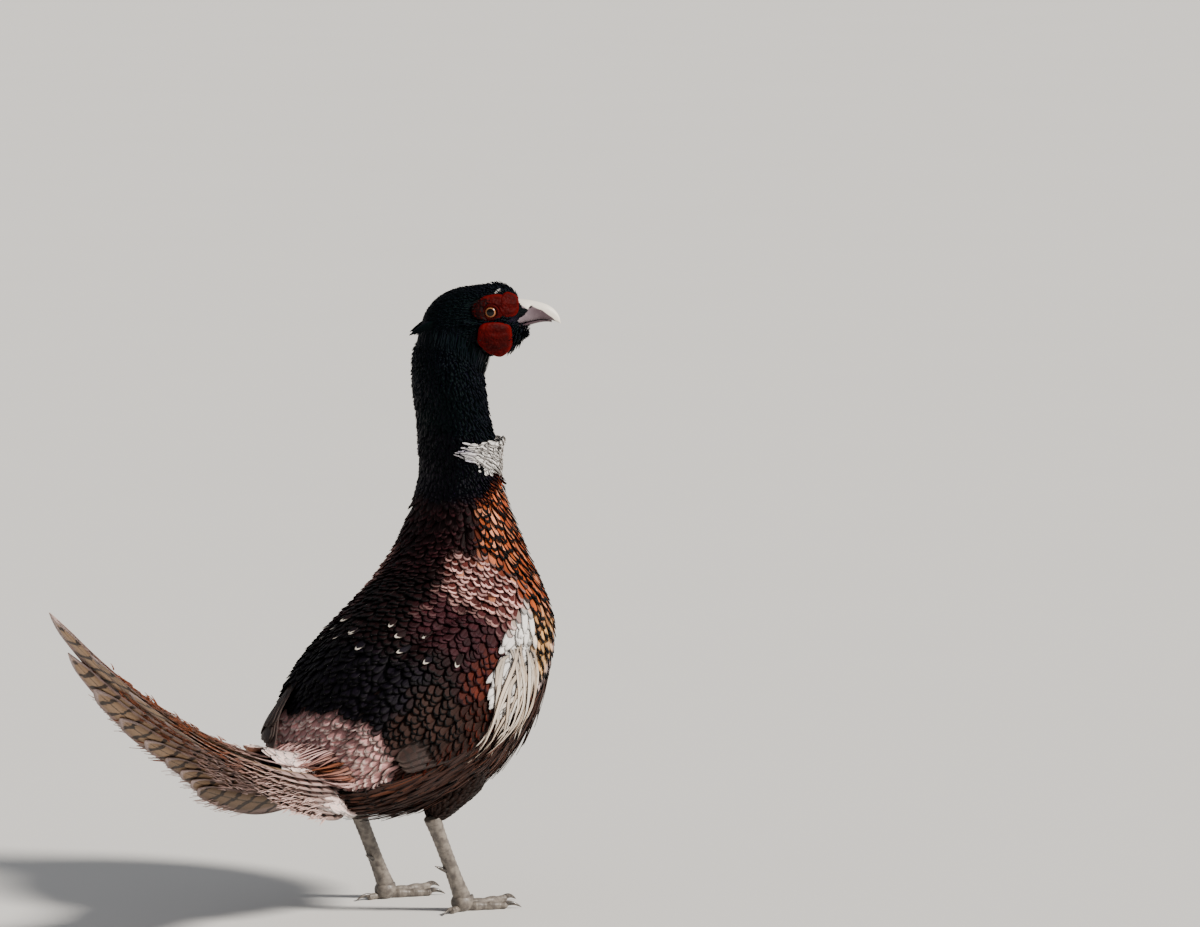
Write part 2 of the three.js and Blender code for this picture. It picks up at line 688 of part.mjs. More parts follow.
const collar = cutAt(new THREE.Vector3(collarCut.x, 0, collarCut.z), -collarCut.lean, 0);
const nape = cutAt(onHead(headCut.forward, 0, headCut.height), headCut.lean, headYaw);
const eyes = [1, -1].map((side) => ballAt(eyeAt.radius, eyeCentre(side)));
const eyeRoom = join([1, -1].map((side) => ballAt(eyeAt.radius + touchGap, eyeCentre(side))));

add("head", flesh.intersect(nape.above).subtract(nape.gap).subtract(eyeRoom), darkGloss);
const gaps = collar.gap.add(nape.gap);
add("neck", flesh.intersect(collar.above).subtract(nape.above).subtract(gaps), darkGloss);
add("torso", flesh.subtract(collar.above).subtract(collar.gap), copper);
add("bill_upper", upperBill(headRoom), horn);
add("bill_lower", lowerBill(headRoom), horn);
add("tail", tailSolid(trunkRoom), tailTan);

for (const side of [1, -1]) {
  const word = side > 0 ? "left" : "right";
  add("eye_" + word, eyes[side > 0 ? 0 : 1], eyeGlass);
  add("wattle_" + word, faceSolid(side, headRoom, eyeRoom), redSkin);
  add("ear_tuft_" + word, earTuft(side, headRoom), darkGloss);
  add("wing_" + word, wingSolid(side, trunkRoom), wingBrown);
  add("thigh_" + word, thighSolid(side).subtract(trunkRoom), thighBrown);
  add("shank_" + word, shankSolid(side).subtract(thighSolid(side, touchGap)), legGrey);
  add("spur_" + word, spurSolid(side), clawHorn);
  add("foot_" + word, footSolid(side, shankSolid(side, touchGap)), legGrey);
  for (const toe of toes) add("claw_" + word + "_" + toe.name, clawSolid(side, toe), clawHorn);
}

const bounds = new THREE.Box3().setFromObject(pheasant);
pheasant.position.set(-(bounds.min.x + bounds.max.x) / 2, -(bounds.min.y + bounds.max.y) / 2, -bounds.min.z);

export default pheasant;
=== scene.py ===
import math

import bpy
import numpy as np
from mathutils import Matrix, Vector


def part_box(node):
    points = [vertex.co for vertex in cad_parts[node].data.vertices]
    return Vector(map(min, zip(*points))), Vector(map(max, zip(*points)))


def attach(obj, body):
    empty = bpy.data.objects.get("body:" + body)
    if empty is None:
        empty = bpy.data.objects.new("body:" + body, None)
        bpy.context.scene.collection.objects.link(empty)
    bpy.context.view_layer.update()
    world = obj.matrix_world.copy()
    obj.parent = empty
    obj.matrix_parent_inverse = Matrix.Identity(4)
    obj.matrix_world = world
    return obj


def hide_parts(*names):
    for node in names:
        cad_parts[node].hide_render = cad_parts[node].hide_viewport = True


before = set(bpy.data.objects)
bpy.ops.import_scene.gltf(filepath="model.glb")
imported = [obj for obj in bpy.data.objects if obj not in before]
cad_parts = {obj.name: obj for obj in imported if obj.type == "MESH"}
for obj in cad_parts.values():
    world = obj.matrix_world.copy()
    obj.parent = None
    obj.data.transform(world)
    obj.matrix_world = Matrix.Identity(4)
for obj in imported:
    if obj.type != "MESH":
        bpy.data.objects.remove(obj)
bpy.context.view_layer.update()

# Adult male common pheasant. Shapes are worked out in millimetres in the bird's own axes: +X to the breast,
# +Y to its left, +Z up, soles at 0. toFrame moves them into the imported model's frame, in metres.
deg = math.pi / 180
dice = np.random.default_rng
headCentre = np.array([66.0, -12.5, 411.0])


def levelAxes(yaw):
    # level directions ahead of a heading and to its left
    ahead = np.array([math.cos(yaw), math.sin(yaw), 0.0])
    return ahead, np.array([-ahead[1], ahead[0], 0.0])


headForward, headLeft = levelAxes(-48 * deg)
upward = np.array([0.0, 0.0, 1.0])
eyeAt = {"forward": 14.5, "height": 7.2, "radius": 5.4, "showing": 3.3}
eyeCorners = [np.array(corner) * 1000 for side in ("left", "right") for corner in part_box("eye_" + side)]
eyeMiddle = headCentre + headForward * eyeAt["forward"] + upward * eyeAt["height"]
birdShift = sum(eyeCorners) / 4 - eyeMiddle


def toFrame(points):
    return (points + birdShift) / 1000


# ---- number helpers

def soften(x, low, high):
    # a smooth step from 0 at low to 1 at high; low may be the larger one
    t = np.clip((x - low) / (high - low), 0, 1)
    return t * t * (3 - 2 * t)


def window(x, low, high, soft):
    return soften(x, low - soft, low + soft) * (1 - soften(x, high - soft, high + soft))


def steps(count):
    # shares from 0 to 1 along each of many lines of points
    return np.linspace(0, 1, count)[None, :, None]


def mixed(a, b, share):
    # a and b blended by share, one share for each row of numbers
    return a + (np.asarray(b) - a) * np.asarray(share)[..., None]


def lerp(a, b, t):
    return a + (b - a) * t


def unit(vectors):
    return vectors / np.maximum(np.linalg.norm(vectors, axis=-1, keepdims=True), 1e-9)


def ripple(points, size, seed):
    # soft noise: the mean of twelve sine waves in random directions
    waves = dice(seed)
    ways = unit(waves.normal(size=(12, 3))) * waves.uniform(0.7, 1.4, (12, 1)) * 2 * math.pi / size
    return np.sin(points @ ways.T + waves.uniform(0, 6.28, 12)).mean(-1) * 2.4


def curveAt(points, t):
    # Catmull-Rom curve through rows of numbers, which are evenly spaced in t from 0 to 1
    points = np.asarray(points, float)
    rows = np.vstack([2 * points[0] - points[1], points, 2 * points[-1] - points[-2]])
    place = np.clip(t, 0, 1) * (len(points) - 1)
    i = np.minimum(place.astype(int), len(points) - 2)
    w = (place - i)[..., None]
    a, b, c, d = rows[i], rows[i + 1], rows[i + 2], rows[i + 3]
    return 0.5 * (2 * b + (c - a) * w + (2 * a - 5 * b + 4 * c - d) * w**2 + (3 * b - a - 3 * c + d) * w**3)


def squared(angle, exponent):
    # cosine and sine of a rounded-square section
    c, s = np.cos(angle), np.sin(angle)
    return np.sign(c) * np.abs(c) ** (2 / exponent), np.sign(s) * np.abs(s) ** (2 / exponent)


# ---- the body's surfaces

# back line x, z, belly line x, z and half-width of each cross-section, from the tail root to the neck's top
trunkRows = [
    (-94, 110, -89, 97, 12), (-87, 126, -74, 84, 37), (-76, 148, -46, 75, 53), (-57, 179, 4, 74, 64),
    (-31, 206, 60, 86, 68), (-5, 225, 103, 117, 69), (15, 240, 126, 156, 66), (30, 257, 129, 198, 57),
    (39, 280, 114, 240, 44), (43, 308, 100, 280, 32), (40, 338, 91, 316, 27), (34, 368, 83, 350, 25.5),
    (34, 391, 79, 380, 23), (44, 409, 72, 404, 14), (52, 417, 60, 416, 4),
]
# forward, top, bottom and half-width of the head's cross-sections
headRows = [
    (-34, -3, -9, 3), (-30, 7, -20, 13), (-22, 16, -26, 18), (-10, 22, -28, 20.5), (2, 24.2, -27, 20),
    (13, 25.3, -25.5, 17.5), (22, 25.3, -23.5, 14), (28.5, 23, -20.5, 10.2), (33, 18, -16.5, 7.2),
    (37, 8, -12.5, 4.6), (40.5, -4, -8.5, 2.2),
]
# exponent of the rounded-square cross-sections
squareness = {"trunk": 2.15, "head": 2.2}


def trunkPoint(along, angle, grow=0.0):
    # along runs from the tail root to the neck's top, angle from the back line to the left
    row = curveAt(trunkRows, along)
    back, belly, wide = row[..., 0:2], row[..., 2:4], row[..., 4]
    middle, half = (back + belly) / 2, (back - belly) / 2
    c, s = squared(angle, squareness["trunk"])
    stretch = 1 + grow / np.linalg.norm(half, axis=-1)
    x = middle[..., 0] + half[..., 0] * stretch * c
    return np.stack([x, (wide + grow) * s, middle[..., 1] + half[..., 1] * stretch * c], -1)


def onHead(forward, side, height):
    x, y, z = (part[..., None] for part in np.broadcast_arrays(forward, side, height))
    return headCentre + x * headForward + y * headLeft + z * upward


def headPoint(along, angle, grow=0.0):
    # along runs from the nape to the forehead, angle from the crown to the left
    row = curveAt(headRows, along)
    c, s = squared(angle, squareness["head"])
    middle, half = (row[..., 1] + row[..., 2]) / 2, (row[..., 1] - row[..., 2]) / 2 + grow
    return onHead(row[..., 0], (row[..., 3] + grow) * s, middle + half * c)


# how the folded wing lies on the trunk; halfAround is at the wrist, in the middle and at the tip
wing = {"wristAlong": 0.53, "wristAround": 92, "tipAlong": 0.085, "tipAround": 58, "halfAround": (20, 37, 22),
        "flare": 3.5, "roll": 9 * deg, "bulge": 7.4, "sunk": 4.6, "bareFrom": {"left": 30, "right": 78}}


def offBack(angle):
    # degrees from the back line, whichever side
    return np.abs((angle + math.pi) % (2 * math.pi) - math.pi) / deg


def wingSpread(down):
    middle = lerp(wing["wristAround"], wing["tipAround"], np.maximum(down, 0) ** 1.2)
    ends = lerp(wing["halfAround"][0], wing["halfAround"][2], down)
    return middle, ends + (wing["halfAround"][1] - ends) * np.sin(math.pi * np.clip(down, 0, 1)) ** 0.8


def wingDown(along):
    return (wing["wristAlong"] - along) / (wing["wristAlong"] - wing["tipAlong"])


def wingSwell(down, off):
    # the folded wing as a swelling, steep at its edges
    middle, half = wingSpread(down)
    across = np.clip(np.abs(off - middle) / half, 0, 1)
    return wing["bulge"] * (1 - across**3) ** 0.7 * soften(down, -0.04, 0.16)


def dressedPoint(along, angle, grow=0.0):
    # the trunk with the swelling of the folded wings
    down = wingDown(along)
    swell = wingSwell(down, offBack(angle)) * (1 - soften(down, 0.86, 1.16))
    return trunkPoint(along, angle, grow + swell)


headTable = curveAt(headRows, np.linspace(0, 1, 400)).T


def headSection(forward):
    # middle height, half height and half-width of the head
    top, bottom, wide = (np.interp(forward, headTable[0], values) for values in headTable[1:])
    return (top + bottom) / 2, (top - bottom) / 2, wide


def headSideAt(forward, height, mostSlope=0.86):
    # how far out the head's side is, held past mostSlope of the way up or down
    middle, half, wide = headSection(forward)
    share = np.clip((height - middle) / half, -mostSlope, mostSlope)
    return wide * (1 - np.abs(share) ** squareness["head"]) ** (1 / squareness["head"])


def onFace(side, forward, height, over):
    # a place over the head's side
    return onHead(forward, side * (headSideAt(forward, height) + over), height)


def headAxes(points):
    # how far forward, to the left and up points lie from the head's centre
    p = points - headCentre
    return p @ headForward, p @ headLeft, p[..., 2]


def insideHead(points, margin=0.0):
    forward, side, height = headAxes(points)
    middle, half, wide = headSection(forward)
    shares = np.abs([side / (wide + margin), (height - middle) / (half + margin)])
    within = (shares ** squareness["head"]).sum(0) < 1
    return within & (forward > headRows[0][0]) & (forward < headRows[-1][0])


def lie(surface, along, angle, step=1e-3):
    # outward direction of a surface, and the mm in one unit of along and of angle
    ahead = surface(along + step, angle) - surface(along - step, angle)
    around = surface(along, angle + 5 * step) - surface(along, angle - 5 * step)
    normal = unit(np.cross(ahead, around))
    return normal, np.linalg.norm(ahead, axis=-1) / (2 * step), np.linalg.norm(around, axis=-1) / (10 * step)


# ---- putting meshes into the scene

def addObject(name, data):
    made = bpy.data.objects.new(name, data)
    bpy.context.scene.collection.objects.link(made)
    return made


def putMesh(name, points, faces, layers=None, bakeSpots=None):
    # faces is a list of index tables, one for each number of corners; layers are point attributes by name;
    # bakeSpots are the points' places on the bake map
    mesh = bpy.data.meshes.new(name)
    corners = np.concatenate([table.ravel() for table in faces]).astype(np.int32)
    counts = np.concatenate([np.full(len(table), table.shape[1]) for table in faces])
    mesh.vertices.add(len(points))
    mesh.vertices.foreach_set("co", toFrame(points).astype(np.float32).ravel())
    mesh.loops.add(len(corners))
    mesh.loops.foreach_set("vertex_index", corners)
    mesh.polygons.add(len(counts))
    mesh.polygons.foreach_set("loop_start", (np.cumsum(counts) - counts).astype(np.int32))
    mesh.update(calc_edges=True)
    mesh.polygons.foreach_set("use_smooth", np.full(len(counts), True))
    for key, values in (layers or {}).items():
        addLayer(mesh, key, values)
    if bakeSpots is not None:
        bakeMap = mesh.uv_layers.new(name="OFBake")
        bakeMap.data.foreach_set("uv", np.clip(bakeSpots, 0, 1)[corners].astype(np.float32).ravel())
    return addObject(name, mesh)


def addLayer(mesh, key, values):
    # a colour where the name says tone, else a vector
    values = np.asarray(values, np.float32)
    if key.endswith("Tone"):
        layer = mesh.attributes.new(key, "FLOAT_COLOR", "POINT")
        layer.data.foreach_set("color", np.hstack([values, np.ones((len(values), 1), np.float32)]).ravel())
    else:
        layer = mesh.attributes.new(key, "FLOAT_VECTOR", "POINT")
        layer.data.foreach_set("vector", values.ravel())


def dress(piece, finish, slot, *nodes):
    # gives a piece its material and body and hides the CAD nodes that it stands for; slot is not used
    piece.data.materials.append(finish)
    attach(piece, "root")
    if nodes:
        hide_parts(*nodes)
    return piece


def ringQuads(rings, sides, wrap=False):
    # corner numbers of the quads between rings of points; wrap also joins the last ring to the first
    i, j = np.meshgrid(np.arange(rings if wrap else rings - 1), np.arange(sides), indexing="ij")
    after, beside = (i + 1) % rings * sides, (j + 1) % sides
    return np.stack([i * sides + j, i * sides + beside, after + beside, after + j], -1).reshape(-1, 4)


def loftFaces(count, rows, ring):
    # faces of count closed lofts, each of rows rings of points
    start = (np.arange(count) * rows * ring)[:, None]
    ends = np.concatenate([start + np.arange(ring)[::-1], start + (rows - 1) * ring + np.arange(ring)])
    return [(start[..., None] + ringQuads(rows, ring)).reshape(-1, 4), ends]


def ringGrid(rings, around):
    # shares from 0 to 1 and angles round, for rings of points
    return np.meshgrid(np.linspace(0, 1, rings), np.arange(around) / around * 2 * math.pi, indexing="ij")


def ballGrid(rings, around, gap=0.02):
    # angles from the axis and round it, with a small gap at the poles
    t, turn = ringGrid(rings, around)
    return gap + (math.pi - 2 * gap) * t, turn


def closedGrid(grid, start=None, end=None):
    # rings of points closed by a pole at each end, which is the end ring's middle unless given
    rings, sides = grid.shape[:2]
    poles = [grid[0].mean(0) if start is None else start, grid[-1].mean(0) if end is None else end]
    j = np.arange(sides)
    after = (j + 1) % sides
    count = rings * sides
    first = np.stack([np.full(sides, count), after, j], -1)
    last = np.stack([np.full(sides, count + 1), count - sides + j, count - sides + after], -1)
    points = np.concatenate([grid.reshape(-1, 3), poles])
    return facingOut(points, [ringQuads(rings, sides), np.concatenate([first, last])])


def joinMeshes(parts):
    # several (points, faces) made one
    points, faces, start = [], {}, 0
    for some, tables in parts:
        points.append(some)
        for table in tables:
            faces.setdefault(table.shape[1], []).append(table + start)
        start += len(some)
    return np.concatenate(points), [np.concatenate(tables) for tables in faces.values()]


def facingOut(points, faces):
    # a closed mesh turned so that its volume, summed over corner fans, is positive
    volume = 0.0
    for table in faces:
        for k in range(1, table.shape[1] - 1):
            a, b, c = points[table[:, 0]], points[table[:, k]], points[table[:, k + 1]]
            volume += (np.cross(a, b) * c).sum()
    return points, faces if volume > 0 else [table[:, ::-1] for table in faces]


# ---- shaders

class Wire:
    # a node's output; sums and products of wires and numbers add Math nodes
    def __init__(self, sheet, socket):
        self.sheet, self.socket = sheet, socket

    def calc(self, operation, other=0.0, swapped=False):
        pair = (other, self) if swapped else (self, other)
        return self.sheet.node("ShaderNodeMath", {"operation": operation}, {0: pair[0], 1: pair[1]})

    def __add__(self, other): return self.calc("ADD", other)
    def __radd__(self, other): return self.calc("ADD", other, True)
    def __sub__(self, other): return self.calc("SUBTRACT", other)
    def __rsub__(self, other): return self.calc("SUBTRACT", other, True)
    def __mul__(self, other): return self.calc("MULTIPLY", other)
    def __rmul__(self, other): return self.calc("MULTIPLY", other, True)


class Sheet:
    # one material's node sheet
    def __init__(self, name):
        self.material = bpy.data.materials.new(name)
        self.material.use_nodes = True
        self.tree = self.material.node_tree
        self.tree.nodes.clear()

    def node(self, kind, settings=None, sockets=None, out=0):
        # adds a node with its settings and its sockets' values or wires; gives its output
        made = self.tree.nodes.new(kind)
        for key, value in (settings or {}).items():
            setattr(made, key, value)
        for key, value in (sockets or {}).items():
            if isinstance(value, Wire):
                self.tree.links.new(value.socket, made.inputs[key])
            else:
                made.inputs[key].default_value = value
        return Wire(self, made.outputs[out])

    def mix(self, a, b, share):
        a, b = ((*tone, 1) if isinstance(tone, tuple) else tone for tone in (a, b))
        return self.node("ShaderNodeMix", {"data_type": "RGBA"}, {0: share, 6: a, 7: b}, 2)

    def ease(self, x, low, high, start=0.0, end=1.0):
        ends = {"Value": x, "From Min": low, "From Max": high, "To Min": start, "To Max": end}
        return self.node("ShaderNodeMapRange", {"interpolation_type": "SMOOTHSTEP"}, ends)

    def layer(self, name, out="Vector"):
        return self.node("ShaderNodeAttribute", {"attribute_name": name}, {}, out)

    def parts(self, vector):
        x = self.node("ShaderNodeSeparateXYZ", {}, {0: vector}, "X")
        return x, Wire(self, x.socket.node.outputs["Y"]), Wire(self, x.socket.node.outputs["Z"])

    def noise(self, scale, detail=3.0):
        place = self.node("ShaderNodeTexCoord", {}, {}, "Object")
        sockets = {"Vector": place, "Scale": scale, "Detail": detail, "Roughness": 0.55}
        return self.node("ShaderNodeTexNoise", {}, sockets, "Fac")

    def bump(self, height, strength, distance):
        return self.node("ShaderNodeBump", {}, {"Height": height, "Strength": strength, "Distance": distance})

    def finish(self, **sockets):
        # the shader itself; _ stands for a space in its sockets' names
        named = {key.replace("_", " "): value for key, value in sockets.items()}
        tone = named["Base Color"]
        named["Base Color"] = (*tone, 1) if isinstance(tone, tuple) else tone
        shader = self.node("ShaderNodeBsdfPrincipled", {}, named)
        end = self.tree.nodes.new("ShaderNodeOutputMaterial")
        self.tree.links.new(shader.socket, end.inputs["Surface"])
        return self.material


def featherFinish(name, look):
    # layer vane: across -1 to 1, along 0 to 1, a random number; layer mark: width of the rim, how far the
    # rim keeps to the tip, width of the streak; layer bands: number of bars, their darkness, pale edge
    sheet = Sheet(name)
    across, down, chance = sheet.parts(sheet.layer("vane"))
    rimWidth, tipOnly, streak = sheet.parts(sheet.layer("mark"))
    bands, bandShare, edgePale = sheet.parts(sheet.layer("bands"))
    ground, rim, shaft = (sheet.layer(key, "Color") for key in ("groundTone", "rimTone", "streakTone"))
    off = across.calc("ABSOLUTE")
    near = sheet.ease(down, look["roundFrom"], 1.0)
    fray = sheet.noise(look["fray"], 2.0) * 0.3 - 0.15
    depth = 1 - (off * off + near * near).calc("SQRT") + fray
    rimMask = sheet.ease(depth, rimWidth + look["rimSoft"], rimWidth - look["rimSoft"])
    rimMask = rimMask * (1 - tipOnly * (1 - sheet.ease(down, 0.62, 0.85)))
    rimMask = rimMask * sheet.ease(rimWidth, 0.0, 0.04)
    streakMask = sheet.ease(off + fray * 0.6, streak + 0.06, streak - 0.02) * sheet.ease(streak, 0.0, 0.03)
    barbs = ((down * look["barbs"] - off * look["barbs"] * 0.45 + chance * 9) * 6.28).calc("SINE")
    fine = sheet.noise(look["grain"], 3.0)
    wobble = sheet.noise(260, 2.0) * 0.5 - off * 0.22
    bar = ((down * bands + wobble + chance * 0.2) * 6.28).calc("SINE")
    barMask = sheet.ease(bar, 0.5, 0.82) * bandShare * sheet.ease(off, 1.0, 0.72, 0.35, 1.0)
    tone = sheet.mix(ground, shaft, streakMask)
    paleFrom = sheet.ease(down, 0.08, 0.45, 0.0, 0.6)
    tone = sheet.mix(tone, (0.66, 0.44, 0.42), sheet.ease(off + fray, paleFrom, paleFrom + 0.4) * edgePale)
    tone = sheet.mix(tone, (0.016, 0.009, 0.007), barMask)
    tone = sheet.mix(tone, rim, rimMask)
    shade = (0.8 + chance * 0.3) * (0.92 + barbs * look["barbShade"]) * (0.66 + fine * 0.68)
    shade = shade * sheet.ease(down, -0.1, 0.5, look["rootShade"], 1.0)
    grey = sheet.node("ShaderNodeCombineXYZ", {}, {0: shade, 1: shade, 2: shade})
    tone = sheet.node("ShaderNodeVectorMath", {"operation": "MULTIPLY"}, {0: tone, 1: grey})
    if look.get("gleam"):
        edgeOn = sheet.node("ShaderNodeLayerWeight", {}, {"Blend": 0.42}, "Facing")
        patches = sheet.noise(look["gleamSize"], 1.0)
        gleam = sheet.mix(look["gleam"][0], look["gleam"][1], sheet.ease(edgeOn + patches * 0.9, 0.45, 1.15))
        tone = sheet.mix(tone, gleam, look["gleamShare"])
    relief = barbs * 0.35 + fine * 0.9 - sheet.ease(off, 0.1, 0.0) * 0.8
    return sheet.finish(
        Base_Color=tone, Roughness=look["rough"] - fine * 0.12, Metallic=look["metal"],
        Specular_IOR_Level=look["shine"], Normal=sheet.bump(relief, look["relief"], 0.0005),
    )


featherLooks = {
    "body": {
        "roundFrom": 0.5, "fray": 1100, "rimSoft": 0.06, "barbs": 9, "barbShade": 0.08, "grain": 1400,
        "rootShade": 0.4, "rough": 0.6, "metal": 0.1, "shine": 0.11, "relief": 0.4,
    },
    "dark": {
        "roundFrom": 0.5, "fray": 900, "rimSoft": 0.06, "barbs": 8, "barbShade": 0.1, "grain": 1500,
        "rootShade": 0.5, "rough": 0.48, "metal": 0.2, "shine": 0.06, "relief": 0.35,
        "gleam": ((0.0005, 0.006, 0.006), (0.004, 0.001, 0.011)), "gleamSize": 30, "gleamShare": 0.6,
    },
    "flight": {
        "roundFrom": 0.86, "fray": 700, "rimSoft": 0.1, "barbs": 46, "barbShade": 0.09, "grain": 1200,
        "rootShade": 0.6, "rough": 0.62, "metal": 0.0, "shine": 0.28, "relief": 0.5,
    },
    "plume": {
        "roundFrom": 0.9, "fray": 900, "rimSoft": 0.12, "barbs": 14, "barbShade": 0.08, "grain": 1500,
        "rootShade": 0.6, "rough": 0.7, "metal": 0.0, "shine": 0.15, "relief": 0.4,
    },
}
finishes = {key: featherFinish("feathers_" + key, look) for key, look in featherLooks.items()}
print("feather finishes made")


# ---- the plumage: what colour grows where

tones = {
    "black": (0.003, 0.0025, 0.003), "green": (0.002, 0.006, 0.006), "purple": (0.011, 0.0025, 0.008),
    "white": (0.93, 0.9, 0.87), "snow": (0.88, 0.8, 0.7), "copper": (0.47, 0.09, 0.018),
    "chestnut": (0.13, 0.02, 0.008), "maroon": (0.032, 0.006, 0.009), "mantle": (0.01, 0.002, 0.0026),
    "wine": (0.085, 0.018, 0.015), "pink": (0.95, 0.53, 0.48), "plum": (0.045, 0.013, 0.018),
    "rust": (0.095, 0.014, 0.006), "buff": (0.66, 0.37, 0.15), "ink": (0.0045, 0.0024, 0.0065),
    "lavender": (0.66, 0.34, 0.33), "blush": (0.93, 0.69, 0.64), "belly": (0.014, 0.007, 0.005),
    "brown": (0.026, 0.0105, 0.0075), "hairRust": (0.24, 0.07, 0.028), "tan": (0.4, 0.25, 0.145),
    "lilac": (0.6, 0.46, 0.44),
}
tones = {key: np.array(tone) for key, tone in tones.items()}

# places on the trunk, as (along, degrees from the back line), of the cream V marks of each side
vMarks = [(0.264, 27), (0.236, 13), (0.252, 2), (0.256, 34), (0.293, 39), (0.268, 50), (0.281, 17),
          (0.285, 64)]
# how far up the copper reaches, by degrees from the back line
copperTop = {"off": [0, 60, 79, 104, 180], "along": [0.6, 0.618, 0.645, 0.678, 0.682]}


# each region's windows in along and in degrees from the back line, its ground and rim tones, the rim's
# width and how far the rim keeps to the tip
regions = [
    ((0.33, 0.505, 0.014), (26, 76, 5), "wine", "pink", 0.3, 0.62),
    ((0.3, 0.4, 0.02), (24, 76, 6), "maroon", "plum", 0.3, 0.5),
    ((0.285, 0.368, 0.012), (70, 89, 5), "rust", "maroon", 0.14, 0.0),
    ((0.35, 0.475, 0.012), (86, 130, 5), "buff", "black", 0.4, 1.0),
    ((0.31, 0.45, 0.012), (108, 136, 4), "lilac", "black", 0.34, 1.0),
    ((0.16, 0.352, 0.012), (86, 140, 6), "brown", "rust", 0.1, 0.0),
    ((0.14, 0.262, 0.015), (-9, 60, 6), "ink", "black", 0.12, 0.0),
    ((0.13, 0.262, 0.016), (58, 96, 6), "brown", "black", 0.12, 0.0),
]


def copperEdge(off):
    return np.interp(off, copperTop["off"], copperTop["along"])


def plumage(along, angle):
    # tones and marks at places of the trunk: each region is laid over those before it
    place = trunkPoint(along, angle)
    a = along + 0.009 * ripple(place, 22, 3)
    off = offBack(angle) + 3.5 * ripple(place, 20, 4)
    ground, rim, mark = tones["belly"], tones["black"], np.array([0.12, 0.0, 0.0])

    def lay(share, groundTone, rimTone, width, tip=0.0):
        nonlocal ground, rim, mark
        goals = tones[groundTone], tones[rimTone], [width, tip, 0.0]
        ground, rim, mark = (mixed(part, goal, share) for part, goal in zip((ground, rim, mark), goals))

    lay(soften(a, 0.1, 0.16) * (1 - soften(off, 88, 105)), "mantle", "black", 0.16)
    lay(soften(a, 0.2, 0.28) * soften(off, 95, 112), "chestnut", "black", 0.2)
    lay((1 - soften(a, 0.2, 0.3)) * soften(off, 105, 130), "belly", "black", 0.1)
    lay(soften(a, 0.4, 0.46) * (1 - soften(off, 34, 56)), "mantle", "maroon", 0.24)
    edge = 90 * (a - 0.5)
    lay(soften(a, 0.44, 0.48) * soften(off, 36 + edge, 54 + edge), "copper", "black", 0.36)
    for lengthwise, around, *look in regions:
        lay(window(a, *lengthwise) * window(off, *around), *look)
    lay((1 - soften(a, 0.136, 0.16)) * (1 - soften(off, 96, 114)), "lavender", "blush", 0.34, 0.5)
    lay((1 - soften(a, 0.04, 0.06)) * window(off, 50, 120, 10), "hairRust", "rust", 0.1)
    strip = np.abs(off - np.interp(a, [0.32, 0.374, 0.45], [95, 86, 80]))
    wide = np.interp(a, [0.32, 0.374, 0.46], [13, 10, 4])
    lay(window(a, 0.318, 0.46, 0.006) * soften(strip, wide + 1.5, wide - 1.5), "snow", "white", 0.5)
    top = copperEdge(off)
    lay(soften(a, top - 0.012, top + 0.006), "purple", "black", 0.25)
    lay(soften(a, 0.7, 0.73), "green", "black", 0.0)
    return ground, rim, np.broadcast_to(tones["brown"], ground.shape), mark


def tinted(ground, rim=None, streak=None, mark=(0, 0, 0)):
    # tones and mark of feathers: one row can stand for all; rim and streak are the ground's unless given
    return [ground, ground if rim is None else rim, ground if streak is None else streak, mark]


# ---- feathers

def outline(s, tip, power=2.0, widest=0.55):
    # a feather's share of its half-width: its end is round at power 2 and pointed at power 1
    rise = np.sin(np.clip(s / widest, 0, 1) * math.pi / 2) ** 0.7
    end = np.clip((s - widest) / (1 - widest), 0, 1)
    return (0.3 + 0.7 * rise) * np.sqrt(np.maximum(1 - end**power * (1 - tip**2), tip**2))


def layFeathers(surface, seeds, rows=7, columns=5, thickness=0.35, tip=0.18, power=2.0):
    # Feathers that follow a surface, by along, angle, length, half, depth (of the root), lift (of the tip),
    # swing (turned from the lie) and tilt. A point at share s of the length and c of the half-width is moved
    # over the surface by those, and raised from depth to lift, less a camber of c^2.
    n = len(seeds["along"])
    column = {key: value[:, None, None] for key, value in seeds.items()}
    s = np.linspace(0, 1, rows)[None, :, None] ** 0.85
    c = np.append(np.linspace(-1, 1, columns), 0.0)[None, None, :]
    under = np.append(np.zeros(columns), 1.0)[None, None, :]
    _, perAlong, perAngle = lie(surface, seeds["along"], seeds["angle"])
    ahead = column["length"] * s + 0 * c
    aside = column["half"] * outline(s, tip, power) * c
    turned = ahead * np.cos(column["swing"]) - aside * np.sin(column["swing"])
    sideways = ahead * np.sin(column["swing"]) + aside * np.cos(column["swing"])
    along = np.clip(column["along"] - turned / perAlong[:, None, None], 0.004, 0.996)
    angle = column["angle"] + sideways / np.maximum(perAngle, 2.0)[:, None, None]
    height = column["depth"] + (column["lift"] - column["depth"]) * s**1.15
    height = height - 0.16 * column["half"] * c**2 * outline(s, tip, power) + column["tilt"] * c
    height = height - thickness * under * (1.1 - s)
    normal, _, _ = lie(surface, along, angle)
    points = surface(along, angle) + normal * height[..., None]
    vane = np.stack(np.broadcast_arrays(c, s, column["chance"]), -1).reshape(-1, 3)
    return points.reshape(-1, 3), vane, loftFaces(n, rows, columns + 1), rows * (columns + 1)


